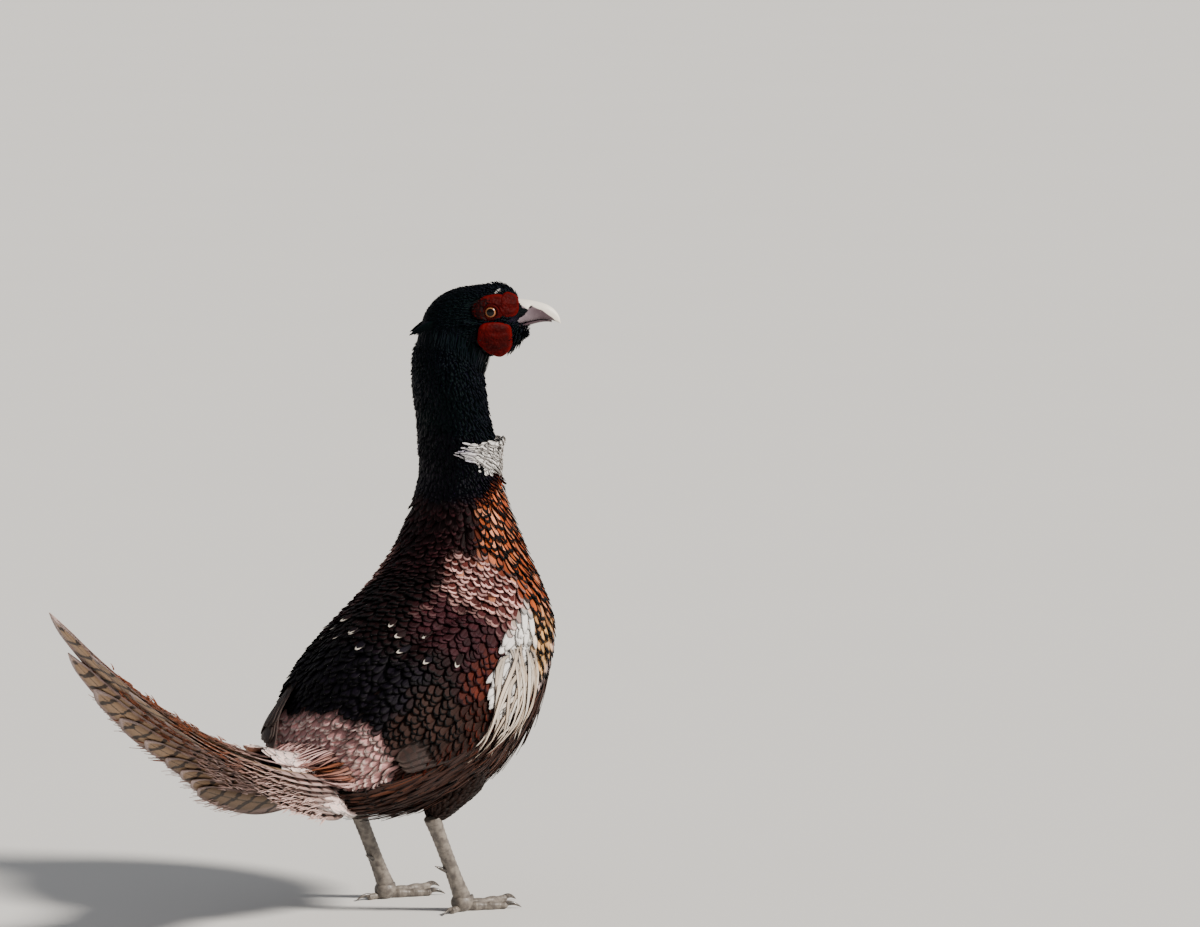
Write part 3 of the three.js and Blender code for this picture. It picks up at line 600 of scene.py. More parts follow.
def rowsOf(surface, look, spacing, width, rng, spread=1.0):
    # Roots in staggered rows, spacing(along) mm from row to row and width(along) mm apart in a row. Gives
    # along, angle, the gap to the next row and the room in the row.
    rows = []
    ringAngles = np.linspace(-math.pi, math.pi, 721)
    at, odd = look["from"], 0
    while at < look["to"]:
        ring = surface(np.full(721, at), ringAngles)
        walked = np.append(0, np.cumsum(np.linalg.norm(np.diff(ring, axis=0), axis=1)))
        count = max(int(walked[-1] / width(at)), 6)
        shares = (np.arange(count) + 0.5 * odd + rng.uniform(-0.22, 0.22, count) * spread) / count
        angle = np.interp((shares % 1) * walked[-1], walked, ringAngles)
        _, perAlong, _ = lie(surface, np.full(count, at), angle)
        step = spacing(at) / np.median(perAlong)
        along = at + rng.uniform(-0.3, 0.3, count) * step * spread
        rows.append((along, angle, perAlong * step, np.full(count, walked[-1] / count)))
        at += step
        odd = 1 - odd
    return [np.concatenate(part) for part in zip(*rows)]


def putFeathers(name, points, vane, faces, per, roots, colours, finish, slot, nodes=(), bands=None):
    # a piece of feathers of per points each, with patches 0.003 across at roots on the bake map
    layers = {"vane": vane}
    if bands is not None:
        layers["bands"] = np.repeat(bands, per, 0)
    for key, part in zip(("groundTone", "rimTone", "streakTone", "mark"), colours):
        layers[key] = np.repeat(np.broadcast_to(part, (len(roots), 3)), per, 0)
    patch = np.repeat(roots, per, 0) + np.stack([vane[:, 0] * 0.0015, (vane[:, 1] - 0.5) * 0.003], -1)
    return dress(putMesh(name, points, faces, layers, patch), finishes[finish], slot, *nodes)


def coatPiece(name, surface, seeds, colours, finish, slot, **shape):
    # a coat over a surface, put on the bake map by the surface unrolled
    roots = np.stack([0.02 + 0.96 * ((seeds["angle"] / (2 * math.pi)) % 1), 0.02 + 0.96 * seeds["along"]], -1)
    putFeathers(name, *layFeathers(surface, seeds, **shape), roots, colours, finish, slot)


def seedsFor(rows, rng, look):
    # sizes of feathers from the gap between their rows and their room in the row
    along, angle, gap, room = rows
    n = len(along)
    return {
        "along": along, "angle": angle, "depth": np.full(n, -look["depth"]),
        "length": np.clip(gap * look["long"], *look["lengths"]) * rng.uniform(0.88, 1.12, n),
        "half": room * look["wide"] * rng.uniform(0.9, 1.1, n),
        "lift": look["lift"] + rng.uniform(-0.25, 0.25, n) * look["loose"],
        "swing": rng.normal(0, 0.09, n) * look["loose"], "tilt": rng.normal(0, 0.18, n) * look["loose"],
        "chance": rng.uniform(0, 1, n),
    }


def pick(seeds, keep):
    return {key: value[keep] for key, value in seeds.items()}


# ---- skin under the coat

skinSettings = {"trunkDepth": 2.3, "headDepth": 1.1, "voxel": 0.0026, "thighDepth": 1.6}
legs = {"side": 37, "knee": (38, 112), "ankle": (0, 70), "footJoint": (30, 10), "thighRadius": 25,
        "ankleRadius": 6.2, "shankRadius": 4.6, "spurLength": 11}
toes = {"middle": (46, 0, 4.1), "inner": (33, 34, 3.7), "outer": (34, -32, 3.7), "back": (15, 168, 3.2)}
sides = {"left": 1, "right": -1}


def legPlace(side, joint):
    return np.array([legs[joint][0], side * legs["side"], legs[joint][1]], float)


def footPlace(side, height):
    return legPlace(side, "footJoint") * [1, 1, 0] + [0, 0, height]


def limbPoint(start, end, t, angle, radius):
    # a round limb from start to end: radius mm from its middle line, at share t of its length
    axis = unit(end - start)
    across = unit(np.cross([0.0, 1.0, 0.0], axis))
    around = np.cross(axis, across)
    middle = start + t[..., None] * (end - start)
    out = np.cos(angle)[..., None] * across + np.sin(angle)[..., None] * around
    return middle + radius[..., None] * out


def thighRadius(t):
    taper = lerp(legs["ankleRadius"], legs["thighRadius"], np.maximum(0, 1 - t * 1.04) ** 0.8)
    return taper * np.minimum(np.sqrt(np.clip(t / 0.34, 0.02, 1)), 9 * (1 - t) + 0.6)


def skinShells():
    shells = []
    t, angle = ringGrid(110, 72)
    t = 0.004 + 0.992 * t
    grid = trunkPoint(t, angle, -skinSettings["trunkDepth"] * soften(1 - t, -0.2, 0.35))
    shells.append(closedGrid(grid))
    t, angle = ringGrid(70, 64)
    grid = headPoint(0.5 - 0.497 * np.cos(math.pi * t), angle, -skinSettings["headDepth"])
    shells.append(closedGrid(grid))
    for side in sides.values():
        t, angle = ringGrid(40, 32)
        start, end = legPlace(side, "knee"), legPlace(side, "ankle")
        grid = limbPoint(start, end, t, angle, np.maximum(thighRadius(t) - skinSettings["thighDepth"], 3))
        shells.append(closedGrid(grid, start, end))
    return joinMeshes(shells)


sampleAlong, sampleAngle = (part.ravel() for part in np.meshgrid(
    np.linspace(0.005, 0.99, 110), np.linspace(-math.pi, math.pi, 73)[:-1], indexing="ij"))
samplePoints = trunkPoint(sampleAlong, sampleAngle)
sampleNormals = lie(trunkPoint, sampleAlong, sampleAngle)[0]


def trunkUnder(points, block=2000):
    # the nearest sample of the trunk to each point, and how far the point is over it, a block at a time
    size = (samplePoints**2).sum(1)
    blocks = [points[k:k + block] for k in range(0, len(points), block)]
    near = np.concatenate([np.argmin(size - 2 * some @ samplePoints.T, axis=1) for some in blocks])
    return near, ((points - samplePoints[near]) * sampleNormals[near]).sum(1)


def makeSkin():
    points, faces = skinShells()
    skin = putMesh("skin", points, faces)
    remesh = skin.modifiers.new("oneSurface", "REMESH")
    remesh.mode, remesh.voxel_size = "VOXEL", skinSettings["voxel"]
    smooth = skin.modifiers.new("smooth", "SMOOTH")
    smooth.iterations, smooth.factor = 12, 0.5
    merged = bpy.data.meshes.new_from_object(skin.evaluated_get(bpy.context.evaluated_depsgraph_get()))
    skin.modifiers.clear()
    skin.data = merged
    count = len(skin.data.vertices)
    flat = np.zeros(count * 3, np.float32)
    skin.data.vertices.foreach_get("co", flat)
    points = flat.reshape(-1, 3).astype(float) * 1000 - birdShift
    near = trunkUnder(points)[0]
    ground, rim, streak, mark = plumage(sampleAlong[near], sampleAngle[near])
    onTop = insideHead(points, 3.0)
    ground[onTop] = tones["green"]
    skin.data.polygons.foreach_set("use_smooth", np.full(len(skin.data.polygons), True))
    vane = np.tile((0.3, 0.3, 0.5), (count, 1))
    layers = {"groundTone": ground * 0.6, "rimTone": rim, "streakTone": streak, "mark": mark * 0}
    for key, values in {"vane": vane, **layers}.items():
        addLayer(skin.data, key, values)
    nodes = "head", "neck", "torso", "thigh_left", "thigh_right"
    return dress(skin, finishes["body"], "body_feathers", *nodes)


makeSkin()
print("skin made")


# ---- the trunk's coat

coats = {
    "trunk": {"from": 0.012, "to": 0.69, "long": 2.8, "lengths": (7, 26), "wide": 0.68, "depth": 2.2,
              "lift": 0.6, "loose": 1.0, "pieces": {"coat_rump": (0, 0.22), "coat_back": (0.22, 0.36),
                                                    "coat_side": (0.36, 0.5), "coat_breast": (0.5, 1)},
              "rowGap": ([0, 0.1, 0.17, 0.24, 0.34, 0.42, 0.5, 0.58, 0.67],
                         [4, 4.2, 4.6, 5.6, 5.2, 4.7, 6, 6, 4.4]),
              "room": ([0, 0.1, 0.17, 0.24, 0.34, 0.45, 0.52, 0.67], [4.4, 4.6, 5, 6.2, 6.4, 6, 5, 3.6])},
    "neck": {"from": 0.585, "to": 0.97, "long": 3.4, "lengths": (4, 14), "wide": 0.8, "depth": 1.5,
             "lift": 0.5, "loose": 1.3, "rowGap": ([0.6, 0.68, 0.95], [3.6, 2.7, 2.1])},
    "head": {"from": 0.02, "to": 0.96, "long": 3.0, "lengths": (2.6, 8), "wide": 0.78, "depth": 1.0,
             "lift": 0.35, "loose": 0.9},
    "thigh": {"from": 0.03, "to": 0.97, "long": 3.2, "lengths": (6, 16), "wide": 0.7, "depth": 1.2,
              "lift": 0.6, "loose": 1.2},
}


def trunkCoat():
    rng = dice(11)
    look = coats["trunk"]
    rows = rowsOf(dressedPoint, look, lambda a: np.interp(a, *look["rowGap"]),
                  lambda a: np.interp(a, *look["room"]), rng, 1.7)
    along, angle = rows[:2]
    down, off = wingDown(along), offBack(angle)
    middle, half = wingSpread(down)
    inner = np.where(angle > 0, wing["bareFrom"]["left"], wing["bareFrom"]["right"])
    inner = np.maximum(inner, middle - half)
    bare = (down > 0.71) & (down < 0.83) & (off > inner) & (off < middle + half * 0.85)
    keep = ~bare & (along <= copperEdge(off) + 0.004)
    seeds = seedsFor([part[keep] for part in rows], rng, look)
    along, angle = seeds["along"], seeds["angle"]
    colours = plumage(along - 0.01, angle)
    n = len(along)
    snowy = (colours[0][:, 2] > 0.5) & (along > 0.3) & (offBack(angle) > 70)
    colours[0][:] *= rng.uniform(0.62, 1.3, (n, 1))
    colours[1][:] *= rng.uniform(0.3, 1.1, (n, 1))
    red = soften(along, 0.42, 0.48) * rng.uniform(0, 1, n) ** 2
    colours[0][:] = mixed(colours[0], colours[0] * [0.5, 0.3, 0.3], red)
    seeds["half"] *= lerp(1, 0.9, soften(along, 0.44, 0.5))
    # painted highlights: a few copper feathers of the breast and neck, picked at random, turn paler pinkish
    # copper
    light = soften(along, 0.42, 0.48) * rng.uniform(0, 1, n) ** 4
    colours[0][:] = mixed(colours[0], [0.75, 0.3, 0.16], light * (colours[0][:, 0] > 0.1))
    white = pick(seeds, snowy)
    for key, share in (("length", 1.9), ("half", 0.85), ("swing", 2)):
        white[key] *= share
    white["lift"] += 1.1
    pale = tones["white"] * rng.uniform(0.92, 1, (int(snowy.sum()), 1))
    coatPiece("white_patch", dressedPoint, white, tinted(pale), "plume", "body_feathers")
    for name, (low, high) in look["pieces"].items():
        keep = (along >= low) & (along < high)
        part = [colour[keep] for colour in colours]
        coatPiece(name, dressedPoint, pick(seeds, keep), part, "body", "body_feathers")
        print(name, int(keep.sum()), "feathers")


def backMarks():
    # pointed feathers with a cream V at the tip
    rng = dice(15)
    listed = np.array(vMarks)
    n = 2 * len(listed)
    off = np.concatenate([listed[:, 1], -listed[:, 1]]) + rng.normal(0, 2.5, n)
    seeds = {
        "along": np.tile(listed[:, 0], 2) + rng.normal(0, 0.005, n) + 0.03, "angle": off * deg,
        "length": rng.uniform(11, 13, n), "half": rng.uniform(2.3, 3.1, n), "depth": np.full(n, -1.0),
        "lift": rng.uniform(2.2, 2.8, n), "swing": rng.normal(0, 0.16, n), "tilt": rng.normal(0, 0.25, n),
        "chance": rng.uniform(0, 1, n),
    }
    colours = plumage(seeds["along"] - 0.03, seeds["angle"])
    colours[1][:] = tones["snow"] * 0.75
    colours[3][:] = (0.16, 0.97, 0.0)
    coatPiece("back_marks", dressedPoint, seeds, colours, "body", "body_feathers", rows=12, columns=9,
              power=0.9)


def thighPoint(side):
    def surface(along, angle, grow=0.0):
        # along runs from the ankle up to the knee
        start, end = legPlace(side, "knee"), legPlace(side, "ankle")
        return limbPoint(start, end, 1 - along, -angle, thighRadius(1 - along) + grow)
    return surface


def thighCoats():
    for word, side in sides.items():
        rng = dice(14)
        look = coats["thigh"]
        surface = thighPoint(side)
        rows = rowsOf(surface, look, lambda a: 3.4, lambda a: 3.6, rng)
        keep = trunkUnder(surface(*rows[:2]))[1] >= -4
        seeds = seedsFor([part[keep] for part in rows], rng, look)
        ground = mixed(tones["brown"], tones["belly"], rng.uniform(0.2, 1, int(keep.sum())))
        colours = tinted(ground, ground * 0.5, mark=(0.1, 0, 0))
        coatPiece("thigh_coat_" + word, surface, seeds, colours, "body", "thigh_feathers", rows=6, columns=3)


trunkCoat()
backMarks()
thighCoats()


# ---- neck, collar and head coat

# the white collar's lower and upper edge in mm over the soles, by degrees from the back line
collar = {"off": [34, 50, 70, 100, 180], "low": [316, 313, 310.5, 304, 302],
          "high": [318, 321, 324, 325, 325], "from": 74, "strokesFrom": 56, "proud": 2.2}


def neckCoat():
    rng = dice(12)
    look = coats["neck"]
    spacing = lambda a: np.interp(a, *look["rowGap"])
    rows = rowsOf(trunkPoint, look, spacing, lambda a: spacing(a) * 0.8, rng)
    along, angle = rows[:2]
    keep = ~insideHead(trunkPoint(along, angle, -1.5), -5.0) & (along > copperEdge(offBack(angle)) - 0.012)
    seeds = seedsFor([part[keep] for part in rows], rng, look)
    along, angle = seeds["along"], seeds["angle"]
    colours = plumage(along, angle)
    n = len(along)
    height, off = trunkPoint(along, angle)[:, 2], offBack(angle)
    edges = collar["low"], collar["high"]
    low, high = (np.interp(off, collar["off"], edge) + rng.uniform(-1, 1, n) for edge in edges)
    inside = (height > low) & (height < high)
    white = inside & (off > collar["from"] + rng.uniform(-8, 8, n))
    above = window(height - high, -3, 8, 2) * soften(off, 40, 66)
    seeds["length"] *= 1 - 0.5 * above
    rise = np.clip((height - low) / (high - low), 0.15, 1)
    rise = soften(off, 80, 114) * (rise + 0.6 * rise**3)
    seeds["lift"] = seeds["lift"] + 0.9 - 1.3 * above - 0.7 * white + 3.8 * rise * white
    seeds["lift"] += 0.9 * soften(height, 352, 326) * ~inside * soften(off, 50, 90)
    seeds["lift"] -= 1.6 * window(height, 284, 318, 8) * soften(off, 90, 50)
    seeds["length"] *= lerp(0.5, 1, soften(along - copperEdge(off), -0.01, 0.04))
    coatPiece("neck_coat", trunkPoint, pick(seeds, ~white), [colour[~white] for colour in colours], "dark",
              "neck_feathers", rows=6, columns=3)
    base = pick(seeds, white)
    base["depth"] += 3 * rise[white]
    base["swing"] -= np.sign(base["angle"]) * 40 * deg * soften(off[white], 178, 150)
    some = inside & (off > collar["strokesFrom"])
    strokes, m = pick(seeds, some), int(some.sum())
    front = soften(off[some], 60, 130)
    share = np.clip((height[some] - low[some]) / (high[some] - low[some]), 0, 1)
    strokes["length"] = rng.uniform(6, 12, m) * (1 + 0.2 * (1 - front))
    strokes["half"] = rng.uniform(0.6, 0.9, m) + 1.0 * front
    middle = soften(off[some], 180, 164)
    swing = -np.sign(strokes["angle"]) * lerp(98, 72, share) * middle * deg
    strokes["swing"] = swing + rng.normal(0, 0.12, m)
    strokes["lift"] = 0.9 + rng.uniform(0.1, 1, m) * (0.9 + collar["proud"] * front * 0.4) + 4.4 * rise[some]
    strokes["depth"] = 0.2 + 4.2 * rise[some]
    both = {key: np.concatenate([base[key], strokes[key]]) for key in base}
    count = len(both["along"])
    # painted shade: towards the back of the neck the collar's white turns bluish-lavender, by a random amount
    # for each feather
    shade = soften(offBack(both["angle"]), 84, 60) * rng.uniform(0.2, 0.7, count)
    ground = mixed(tones["white"], [0.42, 0.38, 0.6], shade)
    coatPiece("collar", trunkPoint, both, tinted(ground), "plume", "neck_feathers", columns=3)
    print("neck", n, "feathers, collar", count)


def faceZone(points, side, grow=0.0):
    # whether points lie on the bare red face of a side
    forward, left, height = headAxes(points)
    inside = np.zeros(len(points), bool)
    for lobe in faceLobes:
        reach = ((forward - lobe["forward"]) / (lobe["halfLength"] + grow)) ** 2
        inside |= reach + ((height - lobe["height"]) / (lobe["halfHeight"] + grow)) ** 2 < 1
    return inside & (side * left > 0)


# the red face of each side: pads by their middle, half sizes, height and an outline of (degrees from the
# front, share of the half sizes)
faceLobes = [
    {"forward": 14.2, "height": 10.4, "halfLength": 13.4, "halfHeight": 8.9, "proud": 2.1, "outline": [
        (0, 1), (35, 1.14), (70, 1.06), (90, 0.98), (125, 0.84), (160, 0.86), (200, 1.04), (235, 1.08),
        (270, 1), (360, 1)]},
    {"forward": 27.2, "height": 11.6, "halfLength": 7.4, "halfHeight": 8.2, "proud": 2.7, "outline": [
        (0, 0.95), (60, 1.02), (110, 1.08), (150, 1), (220, 1), (270, 1.04), (315, 1.1), (360, 0.95)]},
    {"forward": 17.2, "height": -12.3, "halfLength": 12.5, "halfHeight": 12.9, "proud": 4.2, "outline": [
        (0, 1), (22, 1.03), (42, 1.14), (65, 1.03), (90, 0.95), (135, 1.1), (160, 1.01), (180, 0.95),
        (200, 0.88), (225, 0.78), (250, 0.84), (270, 0.94), (290, 1.05), (315, 1.08), (340, 1.02), (360, 1)]},
]


def headCoat():
    rng = dice(13)
    look = coats["head"]
    rows = rowsOf(headPoint, look, lambda a: 1.7, lambda a: 1.3, rng)
    roots = headPoint(*rows[:2])
    forward, _, height = headAxes(roots)
    band = (np.abs(height - 0.7) < 1.2 + 0.12 * np.maximum(forward - 12, 0)) & (forward > 0) & (forward < 34)
    keep = (trunkUnder(roots)[1] >= -1.5) & (band | ~faceZone(roots, 1, -1.2) & ~faceZone(roots, -1, -1.2))
    keep &= (forward < 36) | ((height < -5) & (forward < 40.5))
    keep &= ~((forward > 31.5) & (np.abs(height - 4) < 5))
    seeds = seedsFor([part[keep] for part in rows], rng, look)
    n = int(keep.sum())
    forward, height, band = forward[keep], height[keep], band[keep]
    ground = mixed(tones["green"], tones["purple"] * 0.7, soften(height, -4, -18) * 0.8)
    fleck = (np.abs(forward - 23.4) < 1.9) & (np.abs(height - 20.6) < 0.8)
    ground[fleck] = tones["white"]
    crest = window(forward, 17, 29, 3) * soften(height, 20, 23) * rng.uniform(0, 1, n)
    chin = soften(forward, 24, 33) * soften(height, -4, -9)
    seeds["lift"] = seeds["lift"] + 1.5 * band + 1.8 * crest + chin * rng.uniform(0.6, 3.4, n)
    seeds["length"] *= 1 + 0.3 * band + 0.5 * chin
    colours = tinted(ground, ground * 0.5)
    coatPiece("head_coat", headPoint, seeds, colours, "dark", "head_feathers", rows=5, columns=3, tip=0.1)
    print("head_coat", n, "feathers")


# how many free feathers there are of each kind
plumeCounts = {"chin": 700, "wing": 26, "flank": 420, "rump": 560, "nape": 9000, "lore": 620, "ear": 70}


def chinTuft():
    # bristly feathers that stand out under the bill, longest at the front
    rng = dice(17)
    n = plumeCounts["chin"]
    along, angle = rng.uniform(0.8, 0.985, n), math.pi + rng.normal(0, 1, n)
    angle = math.pi + (angle - math.pi) * lerp(0.5, 1.5, soften(along, 0.86, 0.96))
    root = headPoint(along, angle, -0.6)
    normal = lie(headPoint, along, angle)[0]
    way = unit(normal * 0.8 + headForward * 0.45 - upward * 0.1 + rng.normal(0, 0.12, (n, 3)))
    t = steps(6)
    reach = lerp(1.8, 3.8, soften(along, 0.82, 0.97)) * rng.uniform(0.7, 1.15, n)
    centre = root[:, None] + way[:, None] * reach[:, None, None] * t - headForward * (1.4 * t**2)
    face = unit(np.cross(way, headLeft))[:, None]
    half = rng.uniform(0.6, 1.1, (n, 1)) * (1 - 0.8 * t[..., 0] ** 2)
    freePiece("chin_tuft", centre, face, half, tinted(tones["black"]), "dark", "head_feathers", seed=18)


# ---- free feathers: tail, wings, tufts and plumes

def rootSpots(roots):
    # places of free feathers on the bake map, a little apart where several share one
    near = trunkUnder(roots)[0]
    apart = 0.004 * np.arange(len(roots))[:, None] * [0.618, 0.414] % 0.02
    return 0.03 + 0.92 * np.stack([(sampleAngle[near] / (2 * math.pi)) % 1, sampleAlong[near]], -1) + apart


def freePiece(name, centre, face, half, colours, finish, slot, nodes=(), seed=1, bands=None, thickness=0.3,
              columns=3, roll=0.0):
    # A piece of free feathers: centre is each one's middle line, face the way its upper side looks, half its
    # half-widths. A point at share c of the half-width is lowered by camber c^2; one line runs underneath.
    n, rows = half.shape
    camber = 0.12
    ahead = unit(np.gradient(centre, axis=1))
    across = unit(np.cross(face, ahead))
    lift = np.cross(ahead, across)
    turn = np.broadcast_to(roll, n)[:, None, None]
    across, lift = across * np.cos(turn) + lift * np.sin(turn), lift * np.cos(turn) - across * np.sin(turn)
    c = np.append(np.linspace(1, -1, columns), 0.0)[:, None]
    under = np.append(np.zeros(columns), 1.0)[:, None]
    wide = half[:, :, None, None]
    points = centre[:, :, None] + across[:, :, None] * wide * c
    points = points - lift[:, :, None] * (camber * wide * c**2 + thickness * under)
    chance = dice(seed).uniform(0, 1, n)[:, None, None]
    vane = np.stack(np.broadcast_arrays(c[:, 0], np.linspace(0, 1, rows)[:, None], chance), -1).reshape(-1, 3)
    putFeathers(name, points.reshape(-1, 3), vane, loftFaces(n, rows, columns + 1), rows * (columns + 1),
                rootSpots(centre[:, 0]), colours, finish, slot, nodes, bands)


def featherWidth(t, most, widest, tipShare):
    # half-width of a long feather: quick to widen, long to taper, round at its end
    rise = np.sin(np.clip(t / widest, 0, 1) * math.pi / 2) ** 0.6
    fall = np.clip((t - widest) / (1 - widest), 0, 1)
    end = np.sqrt(np.clip((1 - t) / 0.06, 0.02, 1))
    return most * (0.35 + 0.65 * rise) * (1 - (1 - tipShare) * fall**1.6) * end


tail = {"root": (-78, 0, 114), "yaw": -18 * deg, "startRise": 8 * deg, "endRise": 36 * deg,
        "lengths": [415, 368, 316, 268, 226, 190, 164, 146, 134], "halfWidth": 15, "fan": 0.4 * deg,
        "drawnIn": 0.8, "layerStep": 1.9, "sideStep": 0.9, "firstSlope": 14 * deg, "slopeStep": 3.2 * deg,
        "barGap": 21, "barbs": 50, "barbsFrom": (0.3, 0.8), "barbLong": (9, 17), "coverts": 1500}


def tailLine(pair, side, t):
    # middle line and upper direction of a tail feather: an arc that rises from startRise to endRise, lies
    # further out and down in the outer pairs and is drawn in towards the tip
    length = tail["lengths"][pair]
    half = tail["halfWidth"] * (1 if pair < 4 else 0.9)
    slope = tail["firstSlope"] + tail["slopeStep"] * (pair - 1) if pair else 4 * deg
    bend = (tail["endRise"] - tail["startRise"]) / tail["lengths"][0]
    yaw = math.pi - tail["yaw"] - side * pair * tail["fan"]
    flat, left = levelAxes(yaw)
    most = half * math.cos(slope) + tail["sideStep"] * pair if pair else 3
    out = most * (1 - tail["drawnIn"] * (t * length / tail["lengths"][0]) ** 2)
    step = tail["layerStep"]
    level = -step * (pair + 0.5) - out * math.tan(slope) if pair else side * step / 2
    rise = tail["startRise"] + bend * t * length
    forward = (np.sin(rise) - math.sin(tail["startRise"])) / bend
    lift = (math.cos(tail["startRise"]) - np.cos(rise)) / bend
    line = tail["root"] - side * out[:, None] * left + (level + lift)[:, None] * upward
    line = line + forward[:, None] * flat
    face = np.cos(rise)[:, None] * upward - np.sin(rise)[:, None] * flat
    return line, face, side * slope, half


def tailRows(t):
    # middle lines, directions of the upper side, rolls and half-widths of the tail's feathers
    rows = [tailLine(pair, side, t) for pair in range(len(tail["lengths"])) for side in (1, -1)]
    return [np.array(part) for part in zip(*rows)]


def tailPiece():
    t = np.linspace(0, 1, 44)
    centre, face, roll, wide = tailRows(t)
    pair = np.repeat(np.arange(9), 2)[:, None]
    half = featherWidth(t, wide[:, None], 0.3, np.where(pair < 2, 0.22, 0.4))
    ground = tones["tan"] * (1 - 0.06 * pair)
    bands = np.hstack([np.array(tail["lengths"])[pair] / tail["barGap"], 0.92 + 0 * pair, 0.9 - 0.05 * pair])
    colours = tinted(ground, tones["blush"] * 0.6, ground * 0.3, (0.06, 0, 0.035))
    freePiece("tail_feathers", centre, face, half, colours, "flight", "tail_feathers", ("tail",), seed=21,
              bands=bands, columns=9, roll=roll, thickness=0.8)


def tailFringe():
    # loose barbs that start at both edges of the tail's feathers and run on along them, a little outwards
    rng = dice(22)
    lines, faces, rolls, wides = tailRows(np.linspace(0, 1, 60))
    count = tail["barbs"]
    centre, face = [], []
    t = steps(6)
    for line, looks, turn, wide in zip(lines, faces, rolls, wides):
        ahead = unit(np.gradient(line, axis=0))
        looks = looks * math.cos(turn) - np.cross(looks, ahead) * math.sin(turn)
        wide = featherWidth(np.linspace(0, 1, 60), wide, 0.3, 0.3)
        across = unit(np.cross(looks, ahead))
        for edge in (1, -1):
            at = rng.uniform(*tail["barbsFrom"], count) * (len(line) - 1)
            i = at.astype(int)
            root = line[i] + (at - i)[:, None] * (line[np.minimum(i + 1, len(line) - 1)] - line[i])
            aside = (wide[i] * rng.uniform(0.55, 0.98, count))[:, None]
            root = root + across[i] * edge * aside - looks[i] * 0.4
            out = across[i] * edge * rng.uniform(0.1, 0.4, (count, 1))
            way = unit(ahead[i] + out + looks[i] * rng.normal(0, 0.08, (count, 1)))
            reach = rng.uniform(*tail["barbLong"], (count, 1, 1))
            droop = rng.uniform(0.02, 0.12, (count, 1, 1)) * reach
            centre.append(root[:, None] + way[:, None] * reach * t + ahead[i][:, None] * 0.3 * reach * t**2
                          - upward * droop * t**2)
            face.append(looks[i][:, None])
    centre, face = np.concatenate(centre), np.concatenate(face)
    n = len(centre)
    half = rng.uniform(0.35, 0.75, (n, 1)) * (1 - 0.8 * t[..., 0] ** 2)
    # blush near the tail's root and rust further out: partly the fringe's own colours, partly painted light,
    # pale where the tail's root is sunlit and darker over the shaded rest
    base = soften(np.linalg.norm(centre[:, 0] - tail["root"], axis=1), 200, 110)
    ground = mixed(tones["hairRust"] * 1.3, tones["blush"], base * rng.uniform(0.6, 1, n))
    freePiece("tail_fringe", centre, face, half, tinted(ground), "plume", "tail_feathers", seed=23)
    print("tail made,", n, "loose barbs")


def wingPlace(word, down, across, lift):
    # a place on the folded wing: down from the wrist to the tip, across from the back to the flank edge;
    # feathers run under the coat and come out towards their tips, outside bareFrom
    side = sides[word]
    along = lerp(wing["wristAlong"], wing["tipAlong"], down)
    middle, half = wingSpread(down)
    off = middle + across * half
    out = soften(down, 0.7, 0.88) * soften(off, wing["bareFrom"][word] - 4, wing["bareFrom"][word] + 5)
    lift = lift - wing["sunk"] * (1 - out)
    face = lie(trunkPoint, along, side * off * deg)[0]
    flare = out * wing["flare"] * np.maximum(0, (down - 0.6) / 0.4) ** 2
    swell = wingSwell(down, off) * (1 - (1 - out) * soften(down, 0.86, 1.16))
    return trunkPoint(along, side * off * deg) + face * (lift + flare + swell)[..., None], face


# from and to are (down, across) of a tier's first feather's root and tip; spread is its width at both
wingTiers = [
    {"name": "primaries", "count": 9, "from": (0.5, -0.1), "to": (1.03, -0.35), "spread": (0.5, 0.9),
     "shorter": 0.13, "half": 8.5, "lift": (-0.8, -0.2), "bars": 11, "rim": (0.06, 0.036, 0.028)},
    {"name": "secondaries", "count": 13, "from": (0.45, 0), "to": (0.93, 0), "spread": (1.4, 1.62),
     "shorter": 0.1, "half": 8.5, "lift": (0.2, 1.2), "bars": 10, "rim": (0.06, 0.036, 0.028)},
]


def wingPieces():
    for word, side in sides.items():
        for order, tier in enumerate(wingTiers):
            rng = dice(31 + order)
            n = tier["count"]
            share = np.linspace(0, 1, n)[:, None]
            t = np.linspace(0, 1, 22)[None, :]
            down = lerp(tier["from"][0], tier["to"][0] - tier["shorter"] * share, t)
            aside = lerp(tier["from"][1] + tier["spread"][0] * (share - 0.5),
                         tier["to"][1] + tier["spread"][1] * (share - 0.5), t)
            down = down + rng.uniform(-0.012, 0.012, share.shape)
            lift = lerp(tier["lift"][0], tier["lift"][1], t) + rng.uniform(-0.2, 0.2, share.shape)
            centre, face = wingPlace(word, down, aside, lift)
            half = featherWidth(t + 0 * share, tier["half"], 0.45, 0.5)
            ground = tones["brown"] * 1.15
            colours = tinted(ground, tier["rim"], ground * 0.5, (0.06, 0, 0.04))
            freePiece(f"wing_{tier['name']}_{word}", centre, face, half, colours, "flight", "wing_feathers",
                      ("wing_" + word,), seed=41 + order, bands=np.tile((tier["bars"], 0.8, 0.05), (n, 1)),
                      columns=7, roll=-side * wing["roll"], thickness=0.5)
    print("wings made")


